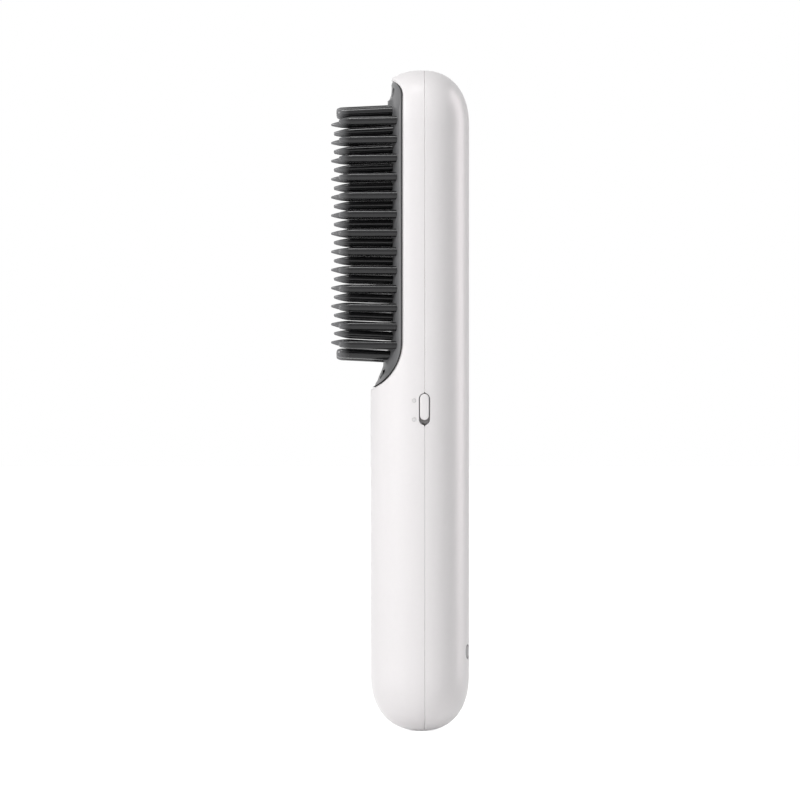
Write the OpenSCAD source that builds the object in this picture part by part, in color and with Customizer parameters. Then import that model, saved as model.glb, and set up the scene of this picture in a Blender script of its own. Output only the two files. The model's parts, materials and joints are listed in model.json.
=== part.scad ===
// Cordless heated hair straightening brush.
// X runs from the teeth (-) to the back (+), Y from side to side with the switch on -Y, and Z up
// along the handle. The origin is the middle of the box that the brush fills, at its lower end.

/* [Body] */
// Overall length of the case, end to end
body_l = 210; // [200:1:240]
// Depth of the case, front to back
body_d = 31.3; // [31:0.1:36]
// Width of the case, side to side
body_w = 36; // [35:0.5:44]
// Thickness of the walls of the two shells
wall = 2; // [1.6:0.1:2.2]
// Length of each rounded end of the case
end_l = 18; // [16:0.5:22]
// Exponent of the rounded ends, where 2 is an ellipse
end_round = 2.3; // [2:0.05:2.6]
// Exponent of the oval cross-section, where 2 is an ellipse
oval_round = 2.15; // [2.1:0.05:2.5]
// Distance of the widest line of the oval behind the middle of the case
oval_x = 0.6; // [0.2:0.1:1.2]
// Distance of the seam between the shells behind the middle of the case
seam_x = 1.4; // [1:0.1:1.8]

/* [Head] */
// Distance of the rim of the head's opening in front of the middle of the case
rim_x = 5.7; // [5.4:0.1:6]
// Length of the opening in the head
opening_l = 100.1; // [99.8:0.1:104]
// Distance of the top of the opening below the top of the case
opening_top = 2.2; // [2:0.1:2.4]
// Radius of the opening's lower corner in side view
opening_r0 = 16; // [15:0.1:17]
// Radius of the opening's upper corner in side view
opening_r1 = 6.2; // [5.8:0.1:7]

/* [Comb cover] */
// Height of the cover's crest in front of the rim
crest_h = 3.4; // [3.2:0.1:3.8]
// Radius of the cover's curve across its width
cover_r = 50; // [45:1:60]
// Thickness of the cover
cover_t = 1.5; // [1.2:0.1:1.7]
// Width of the white rim left showing at each side
rim_w = 2.1; // [1.9:0.1:2.6]
// Gap between the cover and the rim of the shell
cover_gap = 0.2; // [0.1:0.05:0.3]
// Height of the upper seat of the end teeth above the crest
seat_top_h = 1.05; // [0.6:0.05:1.4]
// Height of the lower seat of the end teeth above the crest
seat_low_h = 2.1; // [1.6:0.05:2.3]
// Width of the seats of the end teeth
seat_w = 16.4; // [15:0.2:18]
// Distance of the upper cover screws below the top of the case
screw_top = 7.2; // [6.8:0.1:7.6]
// Distance of the lower cover screws above the lower end of the opening
screw_low = 5.7; // [5.4:0.1:6]
// Distance between the two cover screws of a pair
screw_gap = 11; // [10:0.2:12]

/* [Teeth] */
// Number of rows of guard teeth and middle teeth
rows = 13; // [9:1:13]
// Distance between two rows
row_pitch = 5.93; // [5.4:0.01:5.95]
// Distance between two columns
col_pitch = 5.9; // [5.5:0.05:6]
// Distance of the middle row below the top of the case
field_top = 51.9; // [51.6:0.1:52.2]
// Thickness of a tooth along the handle
tooth_t = 2.75; // [2.3:0.05:2.8]
// Width of a tooth across the handle
tooth_w = 3.8; // [3.2:0.1:4.2]
// Reach of the middle teeth above the cover's crest
mid_reach = 19.2; // [17.5:0.1:21]
// Reach of the side teeth above the cover's crest
side_reach = 18.3; // [17:0.1:21]
// Reach of the guard teeth above the cover's crest
guard_reach = 16.7; // [16:0.1:19]
// Length of the pointed part of the middle teeth
mid_taper = 5; // [4:0.1:6]
// Length of the pointed part of the side teeth
side_taper = 5.7; // [4:0.1:6.5]
// Lean of the outermost hot teeth towards the middle, in degrees
fan = 3; // [0:0.5:4]
// Lean of the outermost guard teeth towards the middle, in degrees
guard_fan = 1; // [0:0.5:2]
// Distance of the end teeth from the middle row
end_off = 39.05; // [38.9:0.05:39.3]
// Thickness of an end tooth
end_t = 3.1; // [2.7:0.1:3.2]
// Distance between two end teeth of a row
end_pitch = 5.4; // [5.2:0.1:5.8]
// Reach of the end teeth above the cover's crest
end_reach = 17.5; // [16.5:0.1:19]
// Distance of the middle end tooth beyond its neighbours
end_arc = 0.7; // [0:0.1:0.8]
// Lean of the end teeth towards the middle, in degrees
end_lean = 2.7; // [1:0.1:3.4]

/* [Heater] */
// Diameter of the heater's pins inside the hot teeth
pin_d = 1.1; // [0.9:0.1:1.2]
// Reach of the pins above the cover's crest
pin_reach = 11; // [8:0.5:12]
// Clearance round a pin inside its tooth
pin_gap = 0.1; // [0.05:0.05:0.15]
// Width of the heater plate
plate_w = 26; // [24:0.5:26.5]
// Length of the heater plate
plate_l = 75; // [74:0.5:76]
// Least distance between the heater plate and the seam
plate_back = 4.8; // [4.4:0.1:5]
// Thickness of the ceramic heater
ceramic_t = 1.2; // [1:0.1:1.4]
// Width of the ceramic heater
ceramic_w = 14; // [12:0.5:15]
// Length of the ceramic heater
ceramic_l = 56; // [50:1:58]

/* [Switch] */
// Distance of the slide switch behind the middle of the case
switch_x = 1.3; // [1:0.1:1.6]
// Distance of the middle of the switch's slot below the opening
switch_drop = 5.4; // [5:0.1:5.9]
// Length of the slider's knob
knob_l = 8.25; // [7.5:0.05:9]
// Width of the slider's knob
knob_w = 2.85; // [2.4:0.05:3.2]
// Travel of the slider
travel = 1.4; // [1:0.1:1.6]
// Gap at each end of the knob's travel
knob_end_gap = 0.2; // [0.15:0.05:0.4]
// Gap at each side of the knob
knob_side_gap = 0.31; // [0.2:0.01:0.4]
// Height of the knob's face above the case
knob_proud = 0.3; // [0.1:0.05:0.5]

/* [Indicators] */
// Distance of the indicators in front of the middle of the case
lamp_x = 2; // [1.8:0.1:2.2]
// Distance between the two indicators
lamp_gap = 6; // [5.6:0.1:6.4]
// Diameter of the ring round an indicator
lamp_ring_d = 1.5; // [1.3:0.1:1.8]
// Diameter of an indicator's light pipe
lamp_d = 1; // [0.8:0.1:1.1]

/* [Charging port] */
// Height of the middle of the port
port_z = 25.3; // [25:0.1:26]
// Width of the port's recess
port_w = 15; // [14:0.2:16]
// Height of the port's recess
port_h = 4.5; // [4.3:0.1:5]
// Width of the receptacle's metal shell
usb_w = 8.94; // [8.9:0.02:9]
// Height of the receptacle's metal shell
usb_h = 3.26; // [3.2:0.02:3.3]
// Length of the receptacle
usb_l = 7.35; // [6.5:0.05:8]
// Thickness of the receptacle's metal shell
usb_t = 0.3; // [0.25:0.05:0.35]

/* [Battery and boards] */
// Diameter of the cell
cell_d = 18.4; // [17:0.1:18.6]
// Height of the cell's lower end
cell_z = 32.2; // [31.9:0.1:34]
// Thickness of the circuit boards
board_t = 1.2; // [1:0.1:1.6]
// Width of the main board
board_w = 25; // [22:0.5:26]
// Length of the main board
board_l = 40; // [36:0.5:41]
// Diameter of the insulated leads
lead_d = 1.2; // [1:0.1:1.4]

/* [Hidden] */

$fn = 32;
// Points round the oval, and rings on each rounded end
oval_steps = 48;
end_steps = 8;
// Room past a face for a clean cut
past = 1;
far = 60;

// Main lines of the case, in the handle's own frame, where x is 0 in the middle of its depth
front_x = -body_d / 2;
back_x = body_d / 2;
half_w = body_w / 2;
crest_x = -rim_x - crest_h;
tip_x = crest_x - mid_reach;
opening_z1 = body_l - opening_top;
opening_z0 = opening_z1 - opening_l;
field_z = body_l - field_top;
switch_z = opening_z0 - switch_drop;
screw_z1 = body_l - screw_top;
screw_z0 = opening_z0 + screw_low;

// Clearances shared by the pieces inside
snug = 0.1;
loose = 0.3;

// Screws: cover and board screws, and the stronger ones of the shells
screw_d = 1.6;
screw_head_d = 2.6;
screw_head_t = 1;
boss_d = 4.6;
shell_screw_l = 9.5;
cover_screw_l = 6;
sink_d = screw_head_d + 0.3;

function share(u, p) = pow(1 - pow(u, p), 1 / p);
function signed(v, p) = sign(v) * pow(abs(v), p);
// Outline of the oval at one height: inset from the outside, and share of its full size there
function oval(inset_d, inset_w, z, g) = [
    for (k = [0:oval_steps - 1]) let (a = 360 * k / oval_steps, c = cos(a), s = sin(a))
    [
        oval_x + signed(c, 2 / oval_round) * g
            * (c < 0 ? oval_x - front_x - inset_d : back_x - oval_x - inset_d),
        signed(s, 2 / oval_round) * g * (half_w - inset_w),
        z
    ]
];
// Half-width of the case at a distance x from the middle of its depth, on its straight length
function side_y(x, inset) = (half_w - inset) * share(
    abs(x - oval_x) / ((x < oval_x ? oval_x - front_x : back_x - oval_x) - inset), oval_round);
// How far the cover's surface has fallen back at a distance y from its crest
function drop(y, r) = r - sqrt(r * r - y * y);

// The case's outer form, drawn in by inset_d in depth, inset_w in width and inset_z at the ends
module capsule(inset_d, inset_w, inset_z) {
    reach = end_l - inset_z;
    turn = [for (i = [1:end_steps]) 90 * i / end_steps];
    low = [for (t = turn)
        [inset_z + reach * (1 - pow(max(cos(t), 0), 2 / end_round)), pow(sin(t), 2 / end_round)]];
    levels = concat(low, [for (i = [end_steps - 1:-1:0]) [body_l - low[i][0], low[i][1]]]);
    n = oval_steps;
    last = len(levels) - 1;
    points = concat(
        [[oval_x, 0, inset_z]],
        [for (lv = levels) each oval(inset_d, inset_w, lv[0], lv[1])],
        [[oval_x, 0, body_l - inset_z]]
    );
    faces = concat(
        [for (k = [0:n - 1]) [0, 1 + k, 1 + (k + 1) % n]],
        [for (i = [0:last - 1], k = [0:n - 1]) each [
            [1 + i * n + k, 1 + (i + 1) * n + k, 1 + (i + 1) * n + (k + 1) % n],
            [1 + i * n + k, 1 + (i + 1) * n + (k + 1) % n, 1 + i * n + (k + 1) % n]
        ]],
        [for (k = [0:n - 1]) [1 + (last + 1) * n, 1 + last * n + (k + 1) % n, 1 + last * n + k]]
    );
    polyhedron(points = points, faces = faces, convexity = 4);
}

// Moves the handle's own frame so that the whole brush is centred on the origin
module placed() translate([-(tip_x + back_x) / 2, 0, 0]) children();

// A block from one corner to the other
module block(low, high) translate(low) cube(high - low);

// A rod along X from x0 to x1
module rod_x(d, x0, x1, y, z) translate([x0, y, z]) rotate([0, 90, 0]) cylinder(d = d, h = x1 - x0);

// A pan-headed screw along X. Its head's underside lies at x, and its tip points to dir, -1 or 1.
module screw_x(x, y, z, dir, d, l) {
    rod_x(screw_head_d, min(x, x - dir * screw_head_t), max(x, x - dir * screw_head_t), y, z);
    rod_x(d, min(x, x + dir * l), max(x, x + dir * l), y, z);
}

// A flat oval, w wide along y and h high along x, with round ends
module pill(w, h) {
    square([h, w - h], center = true);
    for (s = [-1, 1]) translate([0, s * (w - h) / 2]) circle(d = h);
}

// A solid of a side view given in x and z, running the whole width
module side_solid(width = far) rotate([90, 0, 0]) linear_extrude(width, center = true) children();

// The space cut away at the front of the head, drawn in by gap
module opening(gap) side_solid() {
    z0 = opening_z0 + opening_r0;
    z1 = opening_z1 - opening_r1;
    translate([-far, opening_z0 + gap]) square([far - rim_x - opening_r0, z0 - opening_z0]);
    translate([-rim_x - opening_r0, z0]) circle(r = opening_r0 - gap, $fn = 96);
    translate([-far, z0]) square([far - rim_x - gap, z1 - z0]);
    translate([-rim_x - opening_r1, z1]) circle(r = opening_r1 - gap, $fn = 96);
    translate([-far, z1 - gap]) square([far - rim_x - opening_r1, opening_z1 - z1]);
}

// The places of the four cover screws and of the two shell screws between them
module cover_screw_places() for (z = [screw_z0, screw_z1], s = [-1, 1])
    translate([0, s * screw_gap / 2, z]) children();
module shell_screw_places() for (z = [screw_z0, screw_z1]) translate([0, 0, z]) children();

// Where the opening's edge lies at the height of the screws
function edge_x(z) = let (
    low = opening_z0 + opening_r0, high = opening_z1 - opening_r1,
    r = z < low ? opening_r0 : opening_r1,
    dz = z < low ? low - z : z > high ? z - high : 0
) -rim_x - r + sqrt(r * r - dz * dz);
edge_low = edge_x(screw_z0);
edge_top = edge_x(screw_z1);

rib_t = 1.6;
boss_end = seam_x - snug / 2;

// The tongues that line the shells up along the seam
tongue_l = 9;
tongue_t = 1.1;
tongue_reach = 3.2;
// Two tongues in the handle, one under the switch and two in the head
tongue_under = 18.3;
tongue_z = [24, 56, switch_z - tongue_under, field_z - 18, field_z + 22];
tongue_y = side_y(oval_x, wall) - loose;

module switch_slot() translate([switch_x, -half_w, switch_z]) rotate([90, 0, 0])
    linear_extrude(2 * (wall + past), center = true)
    pill(knob_l + travel + 2 * knob_end_gap, knob_w + 2 * knob_side_gap);

module front_shell() placed() color([0.95, 0.93, 0.93]) difference() {
    union() {
        difference() {
            capsule(0, 0, 0);
            capsule(wall, wall, wall);
        }
        intersection() {
            capsule(wall / 2, wall / 2, wall / 2);
            for (z = [screw_z0, screw_z1]) union() {
                block([front_x, -half_w, z - rib_t / 2], [boss_end, half_w, z + rib_t / 2]);
                for (y = [-screw_gap / 2, 0, screw_gap / 2]) rod_x(boss_d, front_x, boss_end, y, z);
            }
        }
    }
    block([seam_x, -far, -past], [far, far, body_l + past]);
    opening(0);
    cover_screw_places() rod_x(screw_d - snug, front_x - past, boss_end - past, 0, 0);
    shell_screw_places() rod_x(screw_d + loose, front_x - past, far, 0, 0);
    for (e = [[edge_low, screw_z0], [edge_top, screw_z1]])
        rod_x(sink_d, -far, e[0] + shell_sink, 0, e[1]);
    switch_slot();
    for (s = [-1, 1]) lamp_hole(s);
}
shell_sink = 3;

module lamp_hole(s) translate([-lamp_x, -half_w - past, switch_z + s * lamp_gap / 2 - lamp_drop])
    rotate([-90, 0, 0]) cylinder(d = lamp_ring_d, h = wall + 2 * past);
lamp_drop = 0.3;

// The tongues stand on the rear shell and reach inside the front one
module tongues() for (z = tongue_z, s = [0, 1]) mirror([0, s, 0]) {
    block([seam_x - tongue_reach, tongue_y - tongue_t, z - tongue_l / 2],
        [seam_x + tongue_reach, tongue_y, z + tongue_l / 2]);
    block([seam_x, tongue_y - tongue_t, z - tongue_l / 2],
        [seam_x + tongue_reach, half_w - wall / 2, z + tongue_l / 2]);
}

module rear_shell() placed() color([0.93, 0.9, 0.91]) {
    tongues();
    rear_half();
}
module rear_half() difference() {
    union() {
        difference() {
            capsule(0, 0, 0);
            capsule(wall, wall, wall);
        }
        intersection() {
            capsule(wall / 2, wall / 2, wall / 2);
            union() {
                shell_screw_places() rod_x(boss_d, seam_x, far, 0, 0);
                frame_screw_places() rod_x(frame_boss_d, frame_x1, far, 0, 0);
                for (s = [-1, 1]) translate([charge_screw_x, s * charge_screw_y, 0])
                    cylinder(d = boss_d, h = charge_z);
            }
        }
    }
    block([-far, -far, -past], [seam_x, far, body_l + past]);
    shell_screw_places() rod_x(screw_d - snug, seam_x - past, seam_x + shell_screw_l, 0, 0);
    frame_screw_places() rod_x(screw_d - snug, frame_x1 - past, frame_x1 + frame_screw_l, 0, 0);
    for (s = [-1, 1]) translate([charge_screw_x, s * charge_screw_y, charge_z - charge_screw_l])
        cylinder(d = screw_d - snug, h = charge_screw_l + past);
    switch_slot();
    translate([0, 0, port_z]) rotate([0, 90, 0]) linear_extrude(far) pill(port_w, port_h);
}

module cover_screws() placed() color([0.25, 0.25, 0.27]) {
    for (s = [-1, 1]) {
        screw_x(seat_low_x, s * screw_gap / 2, screw_z0, 1, screw_d - 2 * snug, cover_screw_l);
        screw_x(seat_top_x, s * screw_gap / 2, screw_z1, 1, screw_d - 2 * snug, cover_screw_l);
    }
}
// Where the heads of the cover screws bear on the two ears
bear_low = 1.4;
bear_top = 1.3;
seat_low_x = edge_low - bear_low;
seat_top_x = edge_top - bear_top;

module shell_screws() placed() color([0.6, 0.6, 0.62])
    for (e = [[edge_low, screw_z0], [edge_top, screw_z1]])
        screw_x(e[0] + shell_sink, 0, e[1], 1, screw_d - 2 * snug, seam_x - e[0] - shell_sink + shell_bite);
shell_bite = 7;

// The crest's long round surface, r from the line that the cover's curve turns about
module crest_round(r, z0, z1) translate([crest_x + cover_r, 0, z0])
    cylinder(r = r, h = z1 - z0, $fn = 180);

// The lower ear's corners: in front of the crest, and above the lower end of the opening
ear_z = [[2.8, 8.7], [4, 4.2], [5.1, 2.2], [6.55, 0.5]];
seat_x0 = crest_x - seat_low_h;
seat_x1 = crest_x - seat_top_h;
end_z0 = field_z - end_off;
end_z1 = field_z + end_off;
row_end = row_pitch * (rows - 1) / 2 + tooth_t / 2;
seat_room = 0.45;
seat_lip = 1.2;

module comb_cover() placed() color([0.33, 0.33, 0.35]) difference() {
    intersection() {
        capsule(snug, rim_w, snug);
        union() {
            opening(cover_gap);
            cover_skirt();
        }
        union() {
            crest_round(cover_r, 0, body_l);
            // The lower ear, whose face follows the handle's front, and the lower seat
            side_solid() polygon(concat(
                [for (e = ear_z) [crest_x - e[0], opening_z0 + e[1]]],
                [[crest_x - ear_z[3][0], 0], [0, 0], [0, opening_z0 + ear_z[0][1]]]
            ));
            block([seat_x0, -seat_w / 2, opening_z0], [0, seat_w / 2, field_z - row_end - seat_room]);
            block([seat_x1, -seat_w / 2, field_z + row_end + seat_room],
                [0, seat_w / 2, end_z1 + end_t / 2 + end_arc + seat_lip]);
        }
    }
    // The hollow for the heater plate
    intersection() {
        crest_round(cover_r - cover_t, plate_z0 - loose, plate_z1 + loose);
        block([-far, -plate_w / 2 - loose, 0], [far, plate_w / 2 + loose, body_l]);
    }
    hot_places() tooth_hole();
    guard_places() rod_x(peg_d + 2 * snug, -past, far, 0, 0);
    end_places() rod_x(peg_d + 2 * snug, -past, seat_peg + snug, 0, 0);
    cover_screw_places() rod_x(screw_d + snug, -far, far, 0, 0);
    for (s = [-1, 1]) {
        rod_x(sink_d, -far, seat_low_x, s * screw_gap / 2, screw_z0);
        rod_x(sink_d, -far, seat_top_x, s * screw_gap / 2, screw_z1);
    }
    shield_screw_places() rod_x(screw_d - snug, -shield_bite_x, far, 0, 0);
}
plate_z0 = field_z - plate_l / 2;
plate_z1 = field_z + plate_l / 2;
plate_x = seam_x - plate_back;
skirt_t = 1;
skirt_over = 0.6;
skirt_x = plate_x + skirt_over;
module cover_skirt() for (s = [-1, 1]) translate([0, s * (plate_w / 2 + loose + skirt_t / 2), 0])
    block([-far, -skirt_t / 2, plate_z0], [skirt_x, skirt_t / 2, plate_z1]);

// Teeth. Each is drawn at its root on the crest's line and points to -X.
mid_rows = [for (i = [0:rows - 1]) i - (rows - 1) / 2];
side_rows = [for (i = [0:rows - 2]) i - (rows - 2) / 2];
peg_d = 1.6;
seat_peg = 2;

module tooth_place(col, row, lean) translate([crest_x, col * col_pitch, field_z + row * row_pitch])
    rotate([0, -lean * row / ((rows - 1) / 2), 0]) children();
module middle_places() for (r = mid_rows) tooth_place(0, r, fan) children();
module side_places(s) for (r = side_rows) tooth_place(s, r, fan) children();
module hot_places() {
    middle_places() children();
    for (s = [-1, 1]) side_places(s) children();
}
module guard_row(s) for (r = mid_rows) tooth_place(2 * s, r, guard_fan) children();
module guard_places() for (s = [-1, 1]) guard_row(s) children();
// The end teeth stand on their seat, dir 1 at the top and -1 at the bottom
module end_row(dir) for (k = [-1, 0, 1]) translate([
        dir > 0 ? seat_x1 : seat_x0,
        k * end_pitch,
        (dir > 0 ? end_z1 : end_z0) + dir * (k == 0 ? end_arc / 2 : -end_arc / 2)
    ]) rotate([0, -dir * end_lean, 0]) children();
module end_places() for (dir = [-1, 1]) end_row(dir) children();

// Outline of a tooth seen along its width: half thick, tapering over its last stretch to a tip
tip_steps = 6;
function tooth_outline(reach, root, half, taper, tip, curve) = let (
    side = [for (i = [0:tip_steps]) let (u = i / tip_steps)
        [-(reach - taper * (1 - u)), tip + (half - tip) * (1 - pow(u, curve))]]
) concat([[root, half]], side, [for (i = [tip_steps:-1:0]) [side[i][0], -side[i][1]]], [[root, -half]]);

module tooth(reach, root, t, w, taper, tip_t, tip_w, curve) intersection() {
    translate([root, 0, 0]) rotate([0, -90, 0]) linear_extrude(reach + root) pill(w, t);
    side_solid(w + past) polygon(tooth_outline(reach, root, t / 2, taper, tip_t, curve));
    linear_extrude(t + past, center = true)
        polygon(tooth_outline(reach, root, w / 2, taper, tip_w, curve));
}

// Sizes at the tips of the pointed and of the blunt teeth, and the curve that leads to them
point_t = 0.3;
point_w = 0.7;
point_curve = 1.7;
blunt_share = 0.62;
blunt_l = 0.9;
blunt_curve = 2;
hot_root = 4;
plate_gap = 0.3;
plate_r = cover_r - cover_t - plate_gap;

module hot_tooth(reach, taper) difference() {
    tooth(reach, hot_root, tooth_t, tooth_w, taper, point_t, point_w, point_curve);
    rod_x(pin_d + 2 * pin_gap, -pin_reach - snug, hot_root + past, 0, 0);
}
module tooth_hole() translate([far / 6, 0, 0]) rotate([0, -90, 0])
    linear_extrude(far / 3) pill(tooth_w + 2 * tooth_gap, tooth_t + 2 * tooth_gap);
tooth_gap = 0.15;

// What the hot teeth stand on: the heater plate's curved face
module hot_seat() crest_round(plate_r + seat_clear, 0, body_l);
seat_clear = 0.05;

module middle_teeth() placed() color([0.17, 0.17, 0.18]) difference() {
    middle_places() hot_tooth(mid_reach, mid_taper);
    hot_seat();
}
module side_teeth(s) placed() color([0.19, 0.19, 0.2]) difference() {
    side_places(s) hot_tooth(side_reach, side_taper);
    hot_seat();
}
module side_teeth_near() side_teeth(-1);
module side_teeth_far() side_teeth(1);

guard_w = 3.6;
module guard_teeth(s) placed() color([0.22, 0.22, 0.23]) {
    difference() {
        guard_row(s) tooth(guard_reach, hot_root, tooth_t, guard_w, blunt_l,
            tooth_t / 2 * blunt_share, guard_w / 2 * blunt_share, blunt_curve);
        crest_round(cover_r + seat_clear, 0, body_l);
    }
    guard_row(s) rod_x(peg_d, -past, drop(2 * col_pitch, cover_r) + cover_t - snug, 0, 0);
}
module guard_teeth_near() guard_teeth(-1);
module guard_teeth_far() guard_teeth(1);

end_w = 3.9;
end_foot = 0.1;
module end_tooth(reach) {
    tooth(reach, -end_foot, end_t, end_w, blunt_l, end_t / 2 * blunt_share, end_w / 2 * blunt_share,
        blunt_curve);
    rod_x(peg_d, -past, seat_peg, 0, 0);
}
module end_teeth_top() placed() color([0.2, 0.2, 0.21])
    end_row(1) end_tooth(end_reach - seat_top_h);
module end_teeth_bottom() placed() color([0.2, 0.2, 0.21])
    end_row(-1) end_tooth(end_reach - seat_low_h);

// Heater
clamp_w = 10;
clamp_t = 0.6;
clamp_foot = 5;
clamp_x = plate_x + ceramic_t + clamp_t;
clamp_screw_l = 2.4;
shield_x0 = clamp_x + screw_head_t + loose / 2;
shield_t = 0.8;
shield_w = 25;
shield_x1 = shield_x0 + shield_t;
shield_post_d = 4;
shield_bite_x = rim_x + 2;
// The shield's screws pass between the last two rows of guard teeth
module shield_screw_places() for (r = [-1, 1] * (rows - 2) / 2, s = [-1, 1])
    translate([0, s * (plate_w / 2 - shield_in), field_z + r * row_pitch]) children();
shield_in = 2.2;
module clamp_screw_places() for (s = [-1, 1])
    translate([0, 0, field_z + s * (ceramic_l + clamp_foot) / 2]) children();

module heater_plate() placed() color([0.75, 0.76, 0.78]) {
    difference() {
        intersection() {
            crest_round(plate_r, plate_z0, plate_z1);
            block([-far, -plate_w / 2, plate_z0], [plate_x, plate_w / 2, plate_z1]);
        }
        shield_screw_places() rod_x(screw_d + snug, -far, far, 0, 0);
        clamp_screw_places() rod_x(screw_d - snug, plate_x - clamp_screw_l, far, 0, 0);
    }
    hot_places() rod_x(pin_d, -pin_reach, cover_t + pin_root, 0, 0);
}
pin_root = 1.6;

module ceramic_heater() placed() color([0.93, 0.93, 0.9])
    block([plate_x, -ceramic_w / 2, field_z - ceramic_l / 2],
        [plate_x + ceramic_t, ceramic_w / 2, field_z + ceramic_l / 2]);

module heater_clamp() placed() color([0.7, 0.7, 0.72]) difference() {
    block([plate_x, -clamp_w / 2, field_z - ceramic_l / 2 - clamp_foot],
        [clamp_x, clamp_w / 2, field_z + ceramic_l / 2 + clamp_foot]);
    block([plate_x - past, -far, field_z - ceramic_l / 2 - snug],
        [plate_x + ceramic_t, far, field_z + ceramic_l / 2 + snug]);
    clamp_screw_places() rod_x(screw_d + snug, -far, far, 0, 0);
}

module clamp_screws() placed() color([0.5, 0.5, 0.52]) clamp_screw_places()
    screw_x(clamp_x, 0, 0, -1, screw_d - 2 * snug, clamp_x - plate_x + clamp_screw_l - snug);

module heat_shield() placed() color([0.85, 0.82, 0.72]) difference() {
    union() {
        block([shield_x0, -shield_w / 2, plate_z0], [shield_x1, shield_w / 2, plate_z1]);
        shield_screw_places() rod_x(shield_post_d, plate_x, shield_x1, 0, 0);
    }
    shield_screw_places() rod_x(screw_d + snug, -far, far, 0, 0);
    // Slots for the heater's leads
    for (s = [-1, 1]) translate([0, s * lead_y, slot_z])
        block([-far, -lead_d, -slot_h / 2], [far, lead_d, slot_h / 2]);
}

module shield_screws() placed() color([0.5, 0.5, 0.52]) shield_screw_places()
    screw_x(shield_x1, 0, 0, -1, screw_d - 2 * snug, shield_x1 + shield_bite_x - snug);

// The fuse and the sensor lie on the back of the heater plate, one at each side of the ceramic
fuse_d = 2.2;
fuse_l = 9;
fuse_y = (ceramic_w + plate_w) / 4;
leg_d = 0.6;
module on_plate(d, y) translate([plate_x + d / 2 + snug, y, field_z]) children();
module thermal_fuse() placed() color([0.85, 0.84, 0.8]) on_plate(fuse_d, fuse_y) {
    translate([0, 0, -fuse_l / 2]) cylinder(d = fuse_d, h = fuse_l);
    translate([0, 0, -fuse_l]) cylinder(d = leg_d, h = 2 * fuse_l);
}
bead_d = 1.9;
module temperature_sensor() placed() color([0.8, 0.45, 0.2]) on_plate(bead_d, -fuse_y) {
    sphere(d = bead_d);
    for (s = [-1, 1]) translate([0, s * leg_d, -2 * fuse_l]) cylinder(d = leg_d, h = 2 * fuse_l);
}

// A lead: a round wire through a list of points
module lead(points, d) for (i = [0:len(points) - 2]) {
    a = points[i];
    b = points[i + 1];
    run = norm(b - a);
    translate(a) rotate([0, acos((b - a)[2] / run), atan2((b - a)[1], (b - a)[0])])
        cylinder(d = d, h = run, $fn = 16);
    if (i > 0) translate(a) sphere(d = d * lead_knee, $fn = 16);
}
// The knees are a little thicker than the lead, so that they join cleanly
lead_knee = 1.04;
// The heater's leads run up the back of the heat shield and through its slots to the ceramic
module heater_leads() placed() color([0.85, 0.2, 0.2]) for (s = [-1, 1]) lead([
    [board_x0 - lead_d / 2 - snug, s * lead_y, board_z1 - lead_solder],
    [board_x0 - lead_d / 2 - snug, s * lead_y, board_z1 + lead_rise],
    [shield_x1 + lead_d / 2 + snug, s * lead_y, slot_z - lead_slant],
    [plate_x + ceramic_t + lead_d / 2 + snug, s * lead_y, slot_z + lead_slant]
], lead_d);
lead_y = 6;
lead_solder = 4;
lead_rise = 3;
lead_slant = 1.5;
slot_h = 8;
// Height of the slots above the ceramic's lower end
slot_up = 17.9;
slot_z = field_z - ceramic_l / 2 + slot_up;

// Slide switch. The knob, its guide plate and fork move with the switch's lever.
body_half_x = 1.8;
board_x0 = switch_x + body_half_x;
board_x1 = board_x0 + board_t;
board_under = 4.8;
board_z0 = switch_z - board_under;
board_z1 = board_z0 + board_l;
slide_z = switch_z + travel / 2;
body_y0 = -13.2;
body_y1 = -9.6;
body_half_z = 4.6;
lever_w = 1.4;
lever_h = 1.6;
lever_in = 1;
guide_t = 0.8;
guide_w = 5.6;
guide_over = 1.2;
guide_y = -side_y(switch_x + guide_w / 2, wall) + loose;
fork_t = 0.9;

module power_slider() placed() color([0.95, 0.94, 0.94]) {
    translate([switch_x, -half_w - knob_proud, slide_z]) rotate([-90, 0, 0])
        linear_extrude(half_w + knob_proud + guide_y + guide_t / 2) pill(knob_l, knob_w);
    block([switch_x - guide_w / 2, guide_y, slide_z - knob_l / 2 - guide_over],
        [switch_x + guide_w / 2, guide_y + guide_t, slide_z + knob_l / 2 + guide_over]);
    for (s = [-1, 1]) translate([switch_x, 0, slide_z + s * (lever_h / 2 + snug + fork_t / 2)])
        block([-lever_w / 2, guide_y, -fork_t / 2], [lever_w / 2, body_y0 - loose, fork_t / 2]);
}

module switch_lever() placed() color([0.15, 0.15, 0.16])
    block([switch_x - lever_w / 2, guide_y + guide_t + snug, slide_z - lever_h / 2],
        [switch_x + lever_w / 2, body_y0 + lever_in, slide_z + lever_h / 2]);

module switch_body() placed() color([0.55, 0.56, 0.58]) difference() {
    block([switch_x - body_half_x, body_y0, switch_z - body_half_z],
        [board_x0, body_y1, switch_z + body_half_z]);
    block([switch_x - lever_w / 2 - loose, body_y0 - past, switch_z - travel / 2 - lever_h / 2 - loose],
        [switch_x + lever_w / 2 + loose, body_y0 + lever_in + loose,
            switch_z + travel / 2 + lever_h / 2 + loose]);
}

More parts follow.
